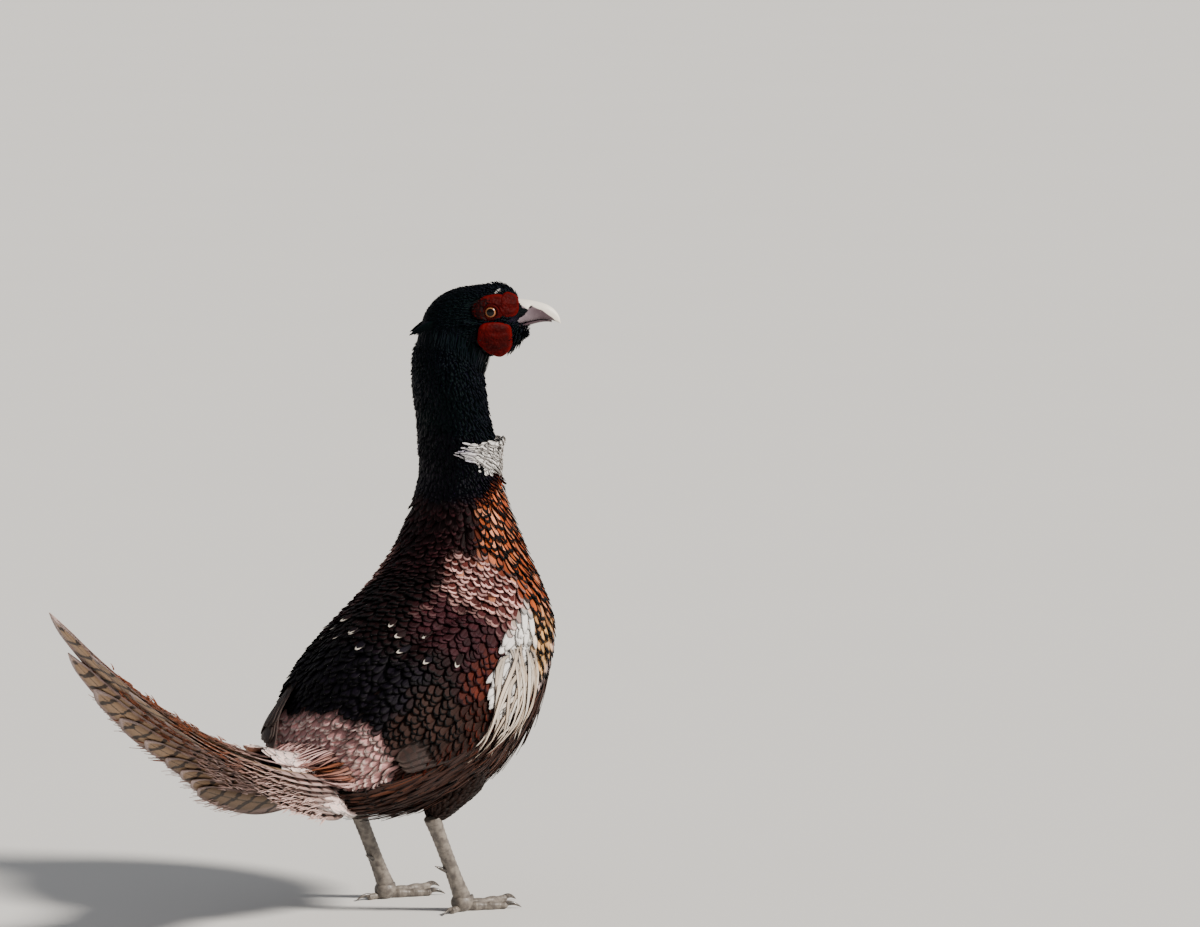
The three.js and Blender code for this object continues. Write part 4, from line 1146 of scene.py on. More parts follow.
def surfacePlumes(name, surface, seeds, colours, slot, seed):
    # long loose feathers that run over a surface by stepAlong and stepAngle and rise from low to high
    t = np.linspace(0, 1, 10)[None, :]
    column = {key: value[:, None] for key, value in seeds.items()}
    along = np.clip(column["along"] - column["stepAlong"] * t, 0.004, 0.99)
    angle = column["angle"] + column["stepAngle"] * t + column["wave"] * np.sin(t * 5 + column["phase"])
    normal = lie(surface, along, angle)[0]
    lift = column["low"] + (column["high"] - column["low"]) * t**1.4
    centre = surface(along, angle) + normal * lift[..., None]
    half = column["half"] * (0.35 + 0.65 * np.sin(np.clip(t / 0.35, 0, 1) * math.pi / 2)) * (1 - 0.8 * t**2.2)
    freePiece(name, centre, normal, half, colours, "plume", slot, seed=seed, columns=5, thickness=0.35)


def wingPlumes():
    # pale feathers that hang from the white patch, and darker ones over the thigh
    for word, side in sides.items():
        rng = dice(71)
        n = plumeCounts["wing"]
        share = np.linspace(0, 1, n) + rng.normal(0, 0.06, n)
        seeds = {
            "along": lerp(0.362, 0.385, share) + rng.normal(0, 0.012, n),
            "angle": side * (lerp(82, 90, share) + rng.normal(0, 2, n)) * deg,
            "stepAlong": lerp(0.112, 0.07, share) * rng.uniform(0.75, 1.12, n),
            "stepAngle": side * lerp(26, 36, share) * rng.uniform(0.7, 1.12, n) * deg,
            "wave": rng.normal(0, 0.08, n), "phase": rng.uniform(0, 6, n),
            "low": np.full(n, 1.8), "high": rng.uniform(2, 6, n), "half": rng.uniform(1.6, 2.9, n),
        }
        pale = mixed(tones["snow"], tones["buff"] * 0.7, rng.uniform(0, 0.6, n))
        colours = tinted(pale, tones["brown"] * 2.4, mark=(0.24, 0, 0))
        surfacePlumes("wing_plumes_" + word, dressedPoint, seeds, colours, "wing_feathers", 72)
        n = plumeCounts["flank"]
        seeds = {
            "along": rng.uniform(0.15, 0.44, n), "angle": side * rng.uniform(104, 160, n) * deg,
            "stepAlong": rng.uniform(0.07, 0.12, n), "stepAngle": side * rng.uniform(-4, 8, n) * deg,
            "wave": rng.normal(0, 0.03, n), "phase": rng.uniform(0, 6, n),
            "low": np.full(n, -0.5), "high": rng.uniform(2, 7, n), "half": rng.uniform(2.0, 3.4, n),
        }
        dull = mixed(tones["brown"] * 1.3, tones["hairRust"], rng.uniform(0, 0.55, n) ** 2)
        colours = tinted(dull, tones["black"], mark=(0.2, 0, 0))
        surfacePlumes("flank_plumes_" + word, trunkPoint, seeds, colours, "body_feathers", 77)


def bent(start, bend, end, t):
    # lines from start to end that are drawn towards bend
    return (1 - t) ** 2 * start[:, None] + 2 * t * (1 - t) * bend[:, None] + t**2 * end[:, None]


def rumpPlumes():
    # hair-like feathers that flow from the rump over the tail's root
    rng = dice(73)
    n = plumeCounts["rump"]
    along = rng.uniform(0.012, 0.085, n)
    angle = rng.uniform(-1, 1, n) * 100 * deg
    root = trunkPoint(along, angle, -0.8)
    flat, across = levelAxes(math.pi - tail["yaw"])
    off = np.abs(angle) / deg
    rest = (root - tail["root"]) @ across
    reach = rng.uniform(18, 74, n) * (1 - 0.35 * off / 86)
    over = 3.2 + reach * 0.17 + rng.uniform(0, 2.4, n) - np.abs(rest) * 0.42
    goal = tail["root"] + flat * reach[:, None] + across * (rest * 0.62)[:, None] + upward * over[:, None]
    normal = lie(trunkPoint, along, angle)[0]
    t = steps(9)
    centre = bent(root, root + normal * 2.2 + flat * (reach * 0.3)[:, None], goal, t)
    face = unit(lerp(normal[:, None], upward, t))
    half = rng.uniform(0.9, 1.9, (n, 1)) * (1 - 0.75 * t[..., 0] ** 2)
    rusty = window(off, 36, 90, 8) * rng.uniform(0.6, 1, n)
    ground = mixed(tones["lavender"], tones["blush"], rng.uniform(0, 0.7, n))
    ground = mixed(ground, tones["hairRust"], rusty)
    colours = tinted(ground, ground * 0.6, mark=(0.12, 0, 0))
    freePiece("rump_plumes", centre, face, half, colours, "plume", "body_feathers", seed=74)


def tailCoverts():
    # broad soft pale feathers over the tail's first part, on a tent of half-section 27 u^0.8, -37 u^1.3
    rng = dice(81)
    n = tail["coverts"]
    flat, across = levelAxes(math.pi - tail["yaw"])
    u = rng.uniform(0.02, 1, n)
    hand = rng.choice([-1, 1], n)
    reach = rng.uniform(-12, 1, n) + lerp(78, 52, u) * rng.uniform(0, 1, n)
    t = np.linspace(0, 1, 9)[None, :]
    way = reach[:, None] + rng.uniform(15, 26, (n, 1)) * t
    narrow = 1 - 0.0022 * np.maximum(way, 0)
    out = unit(np.stack([48 * u**0.3 * hand, 21.6 * u**-0.2], -1))
    proud = rng.uniform(1.6, 3.2, (n, 1)) + rng.uniform(0.2, 1.2, (n, 1)) * t
    aside = 27 * narrow * (hand * u**0.8)[:, None] + proud * out[:, :1]
    over = 3 + 0.14 * way + 0.0009 * way**2 - 37 * narrow * (u**1.3)[:, None] + proud * out[:, 1:]
    centre = tail["root"] + flat * way[..., None] + across * aside[..., None] + upward * over[..., None]
    face = unit(upward * out[:, 1:, None] + across * out[:, :1, None])
    shape = (0.4 + 0.6 * np.sin(np.clip(t / 0.5, 0, 1) * math.pi / 2)) * np.sqrt(1.02 - t**3)
    half = rng.uniform(2.8, 4.8, (n, 1)) * shape
    rusty = soften(reach, 55, 85) * rng.uniform(0.1, 0.8, n)
    ground = mixed(tones["blush"] * 1.03, tones["hairRust"] * 1.8, rusty)
    colours = tinted(ground, tones["white"], ground * 0.8, (0.3, 0.4, 0.03))
    freePiece("tail_coverts", centre, face, half, colours, "plume", "tail_feathers", seed=82, columns=5,
              thickness=0.35)


def napePlumes():
    # feathers that carry the head's coat over the crease on to the neck
    rng = dice(75)
    n = plumeCounts["nape"]
    along, angle = rng.uniform(0.02, 0.8, n), rng.uniform(-math.pi, math.pi, n)
    root = headPoint(along, angle, -0.6)
    near, gap = trunkUnder(root)
    keep = (gap > -1.0) & (gap < 7.5) & (root[:, 2] < headCentre[2] + 3) & (sampleAlong[near] > 0.74)
    root, along, angle = root[keep], along[keep], angle[keep]
    drop = rng.uniform(7, 14, len(root))[:, None]
    normal = lie(headPoint, along, angle)[0]
    below = root - upward * drop - headForward * 2.0
    near, gap = trunkUnder(below)
    out = sampleNormals[near]
    goal = samplePoints[near] + out * rng.uniform(0.2, 0.9, (len(root), 1))
    goal = goal + (below - samplePoints[near]) - out * gap[:, None]
    t = steps(7)
    centre = bent(root, (root + goal) / 2 + unit(normal + out) * 1.3, goal, t)
    face = unit(lerp(normal[:, None], out[:, None], t))
    half = rng.uniform(0.5, 0.95, (len(root), 1)) * (1 - 0.8 * t[..., 0] ** 2)
    freePiece("nape_feathers", centre, face, half, tinted(tones["green"]), "dark", "neck_feathers", seed=76)
    print("nape", len(root), "feathers")


neckCoat()
headCoat()
chinTuft()
napePlumes()
tailPiece()
tailFringe()
tailCoverts()
wingPieces()
wingPlumes()
rumpPlumes()


# ---- the head's bare parts

def eyeGap(forward, height):
    return np.hypot(forward - eyeAt["forward"], height - eyeAt["height"])


def lobePlace(lobe, x, y):
    # forward and height of a place on a lobe, at shares x and y of its half sizes
    return lobe["forward"] + lobe["halfLength"] * x, lobe["height"] + lobe["halfHeight"] * y


def eyeFinish():
    # layer gaze: x is the angle from the middle of the pupil, in radians
    sheet = Sheet("eye_glass")
    gaze, turn, _ = sheet.parts(sheet.layer("gaze"))
    rays = (turn * 46).calc("SINE") * 0.5 + 0.5
    iris = sheet.mix((0.26, 0.085, 0.03), (0.13, 0.038, 0.013), rays * 0.6)
    iris = sheet.mix(iris, (0.4, 0.19, 0.09), sheet.ease(gaze, 0.66, 0.54) * 0.7)
    tone = sheet.mix(iris, (0.0015, 0.001, 0.001), sheet.ease(gaze, 0.54, 0.49))
    tone = sheet.mix(tone, (0.02, 0.006, 0.005), sheet.ease(gaze, 0.72, 0.79))
    return sheet.finish(Base_Color=tone, Roughness=0.4, Coat_Weight=0.42, Coat_Roughness=0.18,
                        Specular_IOR_Level=0.0)


def eyePiece(word, side, finish):
    # a ball with its poles at the pupil and the back, and a raised cornea
    polar, turn = ballGrid(38, 48, 0.03)
    out = side * headLeft
    middle = onFace(side, eyeAt["forward"], eyeAt["height"], eyeAt["showing"] - eyeAt["radius"])
    radius = eyeAt["radius"] * (1 + 0.05 * np.exp(-(polar / 0.55) ** 2))
    ring = np.sin(turn)[..., None] * upward + np.cos(turn)[..., None] * headForward
    way = np.cos(polar)[..., None] * out + np.sin(polar)[..., None] * ring
    grid = middle + radius[..., None] * way
    points, faces = closedGrid(grid, middle + out * radius[0, 0], middle - out * radius[-1, 0])
    gaze = np.stack([polar, turn, turn * 0], -1).reshape(-1, 3)
    gaze = np.concatenate([gaze, [[0, 0, 0], [math.pi, 0, 0]]])
    return dress(putMesh("eye_ball_" + word, points, faces, {"gaze": gaze}), finish, "eye", "eye_" + word)


def wattleFinish():
    sheet = Sheet("wattle_skin")
    # layer flesh: x is painted shade behind the eye, shown as more dark pores, y how near the rim
    pores, cloud = sheet.noise(650, 4.0), sheet.noise(120, 2.0)
    dark, rim, _ = sheet.parts(sheet.layer("flesh"))
    tone = sheet.mix((0.028, 0.0002, 0.0002), (0.052, 0.0004, 0.0003), sheet.ease(cloud, 0.35, 0.65))
    tone = sheet.mix(tone, (0.1, 0.001, 0.0008), sheet.ease(rim + cloud * 0.7, 0.55, 1.5))
    # more dark pores where the layer flesh paints shade
    tone = sheet.mix(tone, (0.007, 0.0003, 0.0004), sheet.ease(pores - dark * 0.3, 0.4, 0.2))
    return sheet.finish(
        Base_Color=tone, Roughness=sheet.ease(pores, 0.3, 0.7, 0.55, 0.7), Specular_IOR_Level=0.05,
        Normal=sheet.bump(pores, 0.3, 0.0005),
    )


def papillae(forward, height, rng, lobe):
    # small round warts at scattered places
    count = int(lobe["halfLength"] * lobe["halfHeight"] * 2.2)
    x, y = lobePlace(lobe, rng.uniform(-1, 1, count), rng.uniform(-1, 1, count))
    gap = np.sqrt(((forward[..., None] - x) ** 2 + (height[..., None] - y) ** 2).min(-1))
    return np.exp(-((gap / 0.62) ** 2))


def wattleLift(lobe, x, y, forward, height):
    # height of a pad at shares x and y of its half sizes, sunk round the eye
    z = np.sqrt(np.maximum(1 - x**2 - y**2, 0))
    return np.sqrt(z) * lobe["proud"] * soften(eyeGap(forward, height), 3.0, 7.2), z


def wattlePiece(word, side, finish):
    # each lobe is a pad with a round rim, roughened by warts and a few folds
    parts, flesh = [], []
    for number, lobe in enumerate(faceLobes):
        rng = dice(51 + number)
        polar, turn = ballGrid(64, 96)
        x, y = np.sin(polar) * np.cos(turn), np.sin(polar) * np.sin(turn)
        at, share = np.array(lobe["outline"]).T
        edge = curveAt(share[:, None], np.interp(turn / deg, at, np.linspace(0, 1, len(at))))[..., 0]
        edge = edge * (1 + 0.02 * np.sin(turn * 3 + number) + 0.015 * np.sin(turn * 7 + 2 * number))
        forward, height = lobePlace(lobe, x * edge, y * edge)
        lift, z = wattleLift(lobe, x, y, forward, height)
        folds = 0.35 * np.sin(height * 1.1 + 0.6 * np.sin(forward * 0.7)) * z
        warts = 0.5 * papillae(forward, height, rng, lobe) * np.clip(z * 2, 0, 1)
        lift = np.where(polar < math.pi / 2, lift + folds + warts, -3 * np.sqrt(z))
        grid = onFace(side, forward, height, lift)
        parts.append(closedGrid(grid))
        # painted shade: the skin darkens behind the eye
        dark = soften(forward, 19, 9) * soften(height, 0, 2) * soften(height, 21, 13)
        some = np.stack([dark, soften(z, 1.0, 0.1), 0 * z], -1).reshape(-1, 3)
        flesh.append(np.concatenate([some, [[dark[0].mean(), 0, 0], [0, 1, 0]]]))
    points, faces = joinMeshes(parts)
    piece = putMesh("wattle_skin_" + word, points, faces, {"flesh": np.concatenate(flesh)})
    return dress(piece, finish, "wattle_skin", "wattle_" + word)


def faceDots(word, side):
    # rows of tiny black feathers on the red face: the face's own feathers, set densest behind the eye partly
    # as painted shade there
    rng = dice(55)
    root, lean = [], []
    for lobe in faceLobes:
        x, y = (part.ravel() for part in np.meshgrid(np.arange(-1, 1, 1.9 / lobe["halfLength"]),
                                                    np.arange(-1, 1, 1.5 / lobe["halfHeight"])))
        x, y = x + rng.uniform(-0.05, 0.05, len(x)), y + rng.uniform(-0.05, 0.05, len(x))
        forward, height = lobePlace(lobe, x, y)
        often = 0.08 + 0.85 * soften(forward, 19, 10) * (height > 0)
        clear = eyeGap(forward, height) > 6.4
        keep = (np.hypot(x, y) < 0.86) & clear & (rng.uniform(0, 1, len(x)) < often)
        x, y, forward, height = x[keep], y[keep], forward[keep], height[keep]
        lift, _ = wattleLift(lobe, x, y, forward, height)
        root.append(onFace(side, forward, height, lift - 0.15))
        lean.append(rng.normal(0, 0.25, (len(x), 1)))
    root, lean = np.concatenate(root), np.concatenate(lean)
    n = len(root)
    t = steps(4)
    way = unit(-headForward + upward * (lean - 0.3) + headLeft * side * 0.5)
    centre = root[:, None] + way[:, None] * rng.uniform(1.2, 2.2, (n, 1, 1)) * t
    half = 0.3 * (1 - 0.8 * t[..., 0] ** 2) * np.ones((n, 1))
    freePiece("face_feathers_" + word, centre, headLeft * side, half, tinted(tones["black"]), "plume",
              "head_feathers", seed=56, thickness=0.15)


def lidPiece(word, side, finish):
    # a thin fleshy ring round the eye, drawn out a little to the front and back
    t, turn = ringGrid(96, 20)
    ringTurn = t * 2 * math.pi * (95 / 96)
    out = side * headLeft
    middle = onFace(side, eyeAt["forward"], eyeAt["height"], 1.5)
    reach = 4.9 * (1 + 0.06 * np.cos(2 * ringTurn))
    thick = 1.1 * (0.8 + 0.25 * np.sin(ringTurn) ** 2) * (1 + 0.08 * np.sin(ringTurn * 23))
    way = np.cos(ringTurn)[..., None] * headForward + np.sin(ringTurn)[..., None] * upward
    grid = middle + way * (reach + thick * np.cos(turn))[..., None] + out * (thick * np.sin(turn))[..., None]
    points, faces = facingOut(grid.reshape(-1, 3), [ringQuads(96, 20, True)])
    # the lid takes half of the face's painted shade round the eye
    flesh = np.tile((0.5, 0.1, 0), (len(points), 1))
    return dress(putMesh("lid_" + word, points, faces, {"flesh": flesh}), finish, "wattle_skin")


bill = {"root": 27, "tip": 63, "topRise": 15.4, "tipDrop": -2.2, "gapeHeight": -3.6, "gapeArch": 3.4,
        "halfWidth": 7}
underBill = {"root": 27, "tip": 57, "depth": 4.2, "halfWidth": 5.6, "tipShare": 30 / 35}
# lower edge of the ivory on the upper bill: share of the way out, share of the height
ivoryEdge = [(0, 0.86), (0.2, 0.82), (0.37, 0.6), (0.39, 0.64), (0.43, 0.775), (0.557, 0.65), (0.657, 0.56),
             (0.74, 0.41), (0.857, 0.23), (0.91, 0.0), (0.95, -0.3), (1, -0.5)]


def gapeLine(t):
    arch = bill["gapeArch"] * np.sin(math.pi * np.clip(t, 0, 1) ** 1.6)
    return lerp(bill["gapeHeight"], bill["tipDrop"], t) + arch


def billSection(t):
    # cutting edge, ridge and half-width of the upper bill at share t of its length
    bottom = gapeLine(t)
    top = lerp(bottom + 1, bill["topRise"], np.sqrt(1 - t**2))
    return bottom, top, bill["halfWidth"] * (1 - t) ** 0.55 + 0.6


def billGrid(part, rings, around, reach, above, below):
    # shares out, places forward, and heights and sides of rounded-square sections, unlike above and below
    share, turn = ringGrid(rings, around)
    t = np.sin(share * reach * math.pi / 2)
    c, s = (np.where(np.cos(turn) > 0, *pair) for pair in zip(squared(turn, above), squared(turn, below)))
    return t, lerp(part["root"], part["tip"], t), c, s


def billFinish():
    # layer horn: height over the ivory's lower edge, share out to the tip, nostril
    sheet = Sheet("bill_horn")
    over, out, pit = sheet.parts(sheet.layer("horn"))
    cloud, lines = sheet.noise(160, 3.0), sheet.noise(420, 2.0)
    # below the ivory the horn is grey at the root and darkens to grey-brown towards the tip: partly its own
    # colour, partly painted shade along the cutting edge
    side = sheet.mix((0.25, 0.19, 0.215), (0.075, 0.046, 0.056), sheet.ease(out + cloud * 0.3, 0.25, 0.85))
    side = sheet.mix(side, (0.3, 0.22, 0.24), sheet.ease(lines, 0.55, 0.75) * 0.35)
    tone = sheet.mix(side, (0.92, 0.86, 0.76), sheet.ease(over + cloud * 0.1 - 0.05, -0.035, 0.035))
    tone = sheet.mix(tone, (0.5, 0.4, 0.33), sheet.ease(lines, 0.6, 0.78) * 0.15)
    tone = sheet.mix(tone, (0.012, 0.009, 0.009), sheet.ease(pit, 0.25, 0.6))
    return sheet.finish(
        Base_Color=tone, Roughness=sheet.ease(cloud, 0.3, 0.7, 0.3, 0.45), Specular_IOR_Level=0.4,
        Coat_Weight=0.12, Normal=sheet.bump(lines, 0.12, 0.0003),
    )


def billSide(forward, height):
    # half-width of the upper bill, or of the head where that is wider
    t = np.clip((forward - bill["root"]) / (bill["tip"] - bill["root"]), 0, 1)
    bottom, top, wide = billSection(t)
    share = np.clip((height - (top + bottom) / 2) / ((top - bottom) / 2), -0.97, 0.97)
    wide = wide + 0.7 * soften(forward, 33, 30)
    return np.maximum(wide * (1 - np.abs(share) ** 2.6) ** (1 / 2.6), headSideAt(forward, height, 0.97))


# how far the velvety feathers before the eye reach out over the bill: height, forward
loreEdge = [(-2.6, 30.8), (1.9, 35.4), (4.8, 39), (7.8, 41), (10, 38), (13, 34.2)]


def loreFeathers(word, side):
    # small black feathers from the face out over the bill's side, within loreEdge
    rng = dice(57)
    n = plumeCounts["lore"]
    height = rng.uniform(-2.6, 13, n)
    edge = np.interp(height, *np.array(loreEdge).T)
    forward = 28.5 + (edge - 28.5) * np.sqrt(rng.uniform(0, 1, n))
    way = unit(np.stack([forward - 26, (height - 5.5) * 0.55], -1)) * rng.uniform(2.2, 4.6, (n, 1))
    t = np.linspace(0, 1, 5)[None, :]
    forward = forward[:, None] - way[:, :1] * (1 - t)
    height = height[:, None] - way[:, 1:] * (1 - t)
    centre = onHead(forward, side * (billSide(forward, height) + 0.25 + 0.5 * t * (1 - t)), height)
    half = rng.uniform(0.34, 0.55, (n, 1)) * (1 - 0.8 * t**2)
    dark = mixed(tones["black"], tones["purple"], rng.uniform(0, 0.6, n))
    freePiece("lore_" + word, centre, headLeft * side, half, tinted(dark), "dark", "head_feathers", seed=58,
              thickness=0.2)


def upperBillPiece(finish):
    # round above and flat below; the nostril is a slit under a raised flap
    t, forward, c, s = billGrid(bill, 110, 96, 0.995, 2, 4)
    bottom, top, half = billSection(t)
    height = (top + bottom) / 2 + (top - bottom) / 2 * c
    side = half * s
    flap = np.exp(-(((forward - 37.6) / 4) ** 2 + ((height - 10.6) / 2.4) ** 2)) * 0.9
    past = forward - 41.9
    slit = np.exp(-((past / 1.3) ** 2 + ((height - 9.4 - 0.7 * past) / 0.75) ** 2)) * 1.3
    cere = 0.7 * soften(forward, 33, 30)
    side = side + np.sign(s) * (flap + cere * np.abs(s) - slit) * (np.abs(s) > 0.3)
    grid = onHead(forward, side, height + cere * np.clip(c, 0, 1))
    tip = onHead(bill["tip"] + 0.7, 0.0, bill["tipDrop"] - 0.6)
    points, faces = closedGrid(grid, end=tip)
    over = (c + 1) / 2 - np.interp(t, *np.array(ivoryEdge).T)
    horn = np.stack([over, t, np.minimum(slit / 1.3, 1)], -1).reshape(-1, 3)
    horn = np.concatenate([horn, [[-0.5, 0, 0], [0.6, 1, 0]]])
    return dress(putMesh("bill_top", points, faces, {"horn": horn}), finish, "bill_horn", "bill_upper")


def lowerBillPiece(finish):
    t, forward, c, s = billGrid(underBill, 48, 44, 0.99, 4, 2)
    top = gapeLine((forward - bill["root"]) / (bill["tip"] - bill["root"])) - 0.2
    depth = 0.8 * underBill["depth"] * (1 - 0.6 * t**1.4)
    half = underBill["halfWidth"] * (1 - t) ** 0.55 + 0.4
    grid = onHead(forward, half * s, top - depth / 2 + depth / 2 * c)
    tip = onHead(underBill["tip"] + 0.3, 0.0, float(gapeLine(underBill["tipShare"])) - 1.1)
    points, faces = closedGrid(grid, end=tip)
    # painted shade: the whole lower bill takes the horn's darkest grey-brown side tone
    horn = np.tile((-0.4, 0.9, 0), (len(points), 1))
    return dress(putMesh("bill_under", points, faces, {"horn": horn}), finish, "bill_horn", "bill_lower")


red, glass, horn = wattleFinish(), eyeFinish(), billFinish()
for word, side in sides.items():
    eyePiece(word, side, glass)
    wattlePiece(word, side, red)
    faceDots(word, side)
    loreFeathers(word, side)
    lidPiece(word, side, red)
upperBillPiece(horn)
lowerBillPiece(horn)
print("face and bill made")


# ---- legs

def legFinish():
    # layer plate: x and y count the scutes along and round the limb
    sheet = Sheet("leg_skin")
    spread, fine = sheet.noise(220, 3.0), sheet.noise(900, 2.0)
    tone = sheet.mix((0.09, 0.075, 0.065), (0.22, 0.19, 0.16), sheet.ease(spread, 0.3, 0.7))
    tone = sheet.mix(tone, (0.08, 0.065, 0.055), sheet.ease(fine, 0.62, 0.72) * 0.5)
    return sheet.finish(
        Base_Color=tone, Roughness=sheet.ease(fine, 0.3, 0.7, 0.4, 0.58), Specular_IOR_Level=0.5,
        Normal=sheet.bump(fine, 0.25, 0.0003),
    )


def scutes(t, turn, count, across):
    # overlapping plates in staggered rows, each rising towards its lower edge
    row = t * count
    column = (turn / (2 * math.pi) * across + 0.5 * (np.floor(row) % 2)) % 1
    edge = 1 - np.clip(np.abs(column - 0.5) * 2, 0, 1) ** 6
    return (0.35 + 0.65 * (row % 1)) * edge


def legPieces(finish, claw):
    for word, side in sides.items():
        start, end = legPlace(side, "ankle"), legPlace(side, "footJoint")
        t, turn = ringGrid(150, 40)
        radius = legs["shankRadius"] + 1.3 * np.abs(2 * t - 1) ** 3 + 0.55 * scutes(t, turn, 15, 3)
        shank = closedGrid(limbPoint(start, end, t, turn, radius), start, end)
        dress(putMesh("shank_skin_" + word, *shank), finish, "leg_skin", "shank_" + word)
        parts = []
        for name, (length, degrees, thick) in toes.items():
            way = levelAxes(side * degrees * deg)[0]
            low, far = footPlace(side, thick * 0.88), footPlace(side, thick * 0.72 * 0.88) + way * length
            t, turn = ringGrid(90, 28)
            knuckles = 1 if name == "back" else 3
            swell = 0.9 + 0.1 * np.cos(t * knuckles * 2 * math.pi)
            radius = thick * (1 - 0.28 * t) * swell * np.minimum(1, 12 * (1 - t) + 0.35)
            radius = radius + 0.3 * scutes(t, turn, length / 3.4, 2) * np.minimum(1, 12 * (1 - t)) - 0.15
            grid = limbPoint(low, far, t, turn, radius)
            grid[..., 2] = np.maximum(grid[..., 2], 0.02)
            parts.append(closedGrid(grid, low, far))
        polar, turn = ballGrid(30, 36)
        ball = np.stack([np.sin(polar) * np.cos(turn), np.sin(polar) * np.sin(turn), np.cos(polar)], -1)
        grid = footPlace(side, 6.2) + ball * [8, 7.6, 6.8]
        grid[..., 2] = np.maximum(grid[..., 2], 0.02)
        parts.append(closedGrid(grid))
        dress(putMesh("foot_skin_" + word, *joinMeshes(parts)), finish, "leg_skin", "foot_" + word)
        clawPieces(word, side, claw)


def clawFinish():
    sheet = Sheet("claw_horn")
    lines = sheet.noise(500, 3.0)
    tone = sheet.mix((0.02, 0.017, 0.015), (0.11, 0.09, 0.075), sheet.ease(lines, 0.35, 0.7))
    return sheet.finish(Base_Color=tone, Roughness=0.34, Coat_Weight=0.2,
                        Normal=sheet.bump(lines, 0.15, 0.0003))


def clawPieces(word, side, finish):
    # a claw is a cone that arches up and then down to the floor
    for name, (length, degrees, thick) in toes.items():
        way, across = levelAxes(side * degrees * deg)
        start = footPlace(side, thick * 0.75) + way * (length - 3.5)
        t, turn = ringGrid(28, 20)
        t = 0.02 + 0.97 * t
        radius = thick * 0.58 * (1 - t) ** 0.6
        rise = radius * np.sin(turn) + 1.5 * np.sin(math.pi * t) - (thick * 0.75 - 0.7) * t**2
        grid = start + (13.5 * t)[..., None] * way + (0.75 * radius * np.cos(turn))[..., None] * across
        grid = grid + rise[..., None] * upward
        grid[..., 2] = np.maximum(grid[..., 2], 0.1)
        dress(putMesh(f"claw_{name}_{word}", *closedGrid(grid)), finish, "claw_horn", f"claw_{word}_{name}")
    start = lerp(legPlace(side, "ankle"), legPlace(side, "footJoint"), 0.68)
    end = start + np.array([-legs["spurLength"] - 3, -side * 3.5, 3.5])
    t, turn = ringGrid(24, 20)
    grid = limbPoint(start, end, t, turn, 2.8 * (1 - t) ** 0.9 + 0.25) + (1.6 * t**2)[..., None] * upward
    dress(putMesh("spur_horn_" + word, *closedGrid(grid, start)), finish, "claw_horn", "spur_" + word)


legPieces(legFinish(), clawFinish())
print("legs made")


# ---- ear tufts

def tuftPieces():
    for word, side in sides.items():
        rng = dice(61)
        n = plumeCounts["ear"]
        t = steps(7)
        spread = rng.uniform(-1, 1, (n, 2))
        root = onHead(-22 + 3 * spread[:, 0], side * (13 + 1.5 * spread[:, 1]), -1.2 + 4 * spread[:, 0])
        short = 8 * rng.uniform(0, 1, n) ** 1.5
        rise = 0.7 * short * rng.uniform(0, 1, n)
        goal = onHead(-42.4 + short, side * (12.5 + 0.4 * spread[:, 1]), -9.4 + rise)
        bow = (upward * 1.4 + headLeft * side) * (1.7 * np.sin(math.pi * t))
        centre = root[:, None] + (goal - root)[:, None] * t + bow
        face = unit(upward + headLeft * side * 0.8)
        half = np.tile(1.9 * (1 - 0.9 * t[..., 0] ** 3), (n, 1))
        freePiece("tuft_" + word, centre, face, half, tinted(tones["green"]), "dark", "head_feathers",
                  ("ear_tuft_" + word,), seed=62, thickness=0.5)


tuftPieces()
print("tufts made")


# ---- floor, light and camera

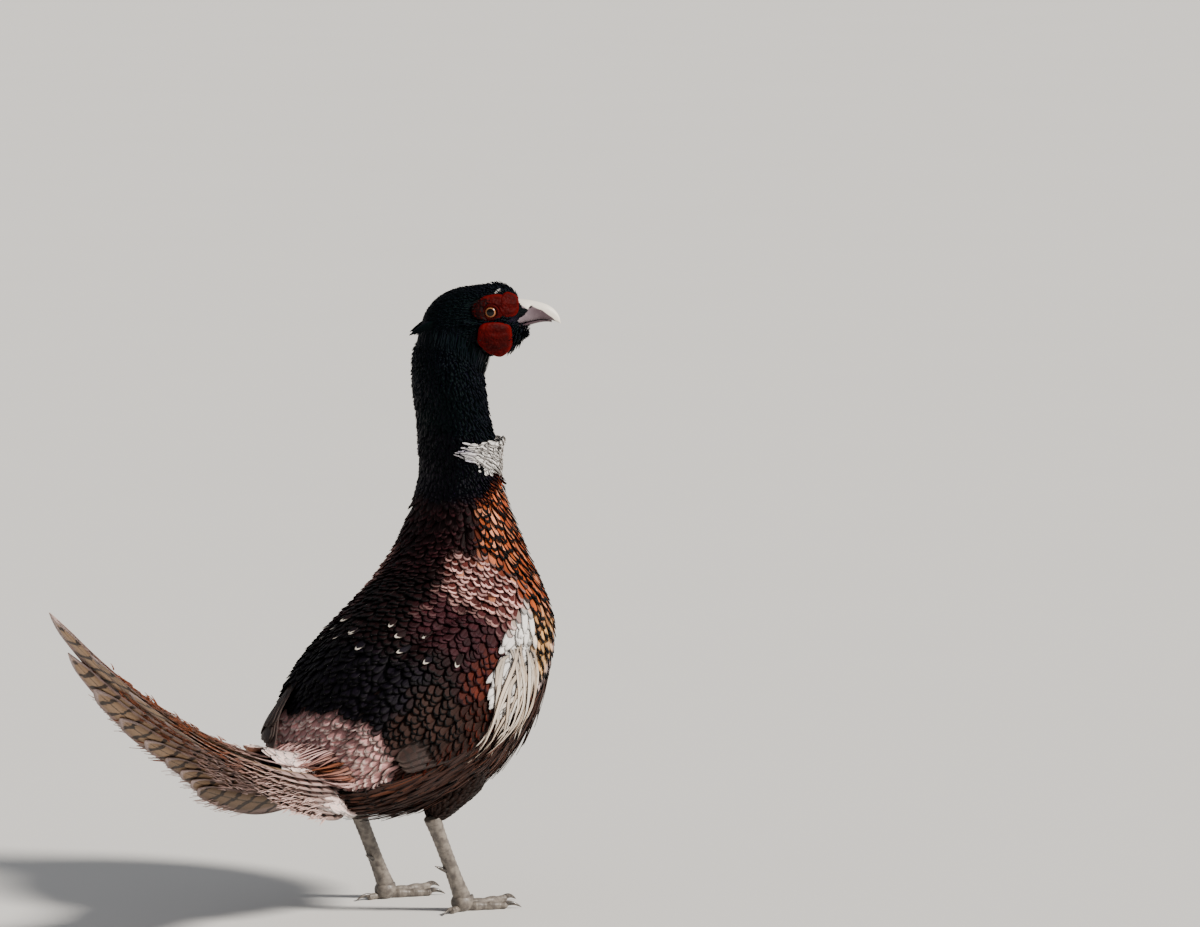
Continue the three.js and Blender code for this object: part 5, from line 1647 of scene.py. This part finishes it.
studio = {
    "floorTone": (0.78, 0.77, 0.75), "worldTone": (0.86, 0.88, 0.92), "world": 0.34, "sun": 6.4,
    "sunAngle": 10, "sunTone": (1.0, 0.94, 0.86), "toSun": (0.76, 0.56, 0.36), "distance": 5000.0,
    "wide": 840.0, "sensor": 36, "centre": (144.2, 312.6), "azimuth": -48, "elevation": 7, "floorHalf": 40.0,
}


def makeStudio():
    mesh = bpy.data.meshes.new("floor")
    half = studio["floorHalf"]
    corners = [(-half, -half, 0), (half, -half, 0), (half, half, 0), (-half, half, 0)]
    mesh.from_pydata(corners, [], [(0, 1, 2, 3)])
    floor = addObject("floor", mesh)
    sheet = Sheet("floor_paint")
    tone = sheet.mix(studio["floorTone"], tuple(0.97 * x for x in studio["floorTone"]), sheet.noise(3.0))
    floor.data.materials.append(sheet.finish(Base_Color=tone, Roughness=0.85))
    world = bpy.data.worlds.new("studio")
    world.use_nodes = True
    background = world.node_tree.nodes["Background"]
    background.inputs["Color"].default_value = (*studio["worldTone"], 1)
    background.inputs["Strength"].default_value = studio["world"]
    bpy.context.scene.world = world
    turn, tilt = studio["azimuth"] * deg, studio["elevation"] * deg
    back = Vector((math.sin(turn) * math.cos(tilt), -math.cos(turn) * math.cos(tilt), math.sin(tilt)))
    right = Vector((math.cos(turn), math.sin(turn), 0))
    top = back.cross(right)
    lamp = bpy.data.lights.new("key", "SUN")
    lamp.energy, lamp.angle, lamp.color = studio["sun"], studio["sunAngle"] * deg, studio["sunTone"]
    key = addObject("key", lamp)
    x, y, z = studio["toSun"]
    key.rotation_euler = (right * x + top * y + back * z).to_track_quat("Z", "Y").to_euler()
    camera = addObject("camera", bpy.data.cameras.new("camera"))
    camera.data.sensor_width = studio["sensor"]
    camera.data.lens = studio["sensor"] * studio["distance"] / studio["wide"]
    camera.data.clip_end = 200
    place = right * studio["centre"][0] + top * studio["centre"][1] + back * studio["distance"]
    place = (place + Vector(birdShift)) / 1000
    camera.matrix_world = Matrix.Translation(place) @ Matrix((right, top, back)).transposed().to_4x4()
    bpy.context.scene.camera = camera


makeStudio()
print("studio made")
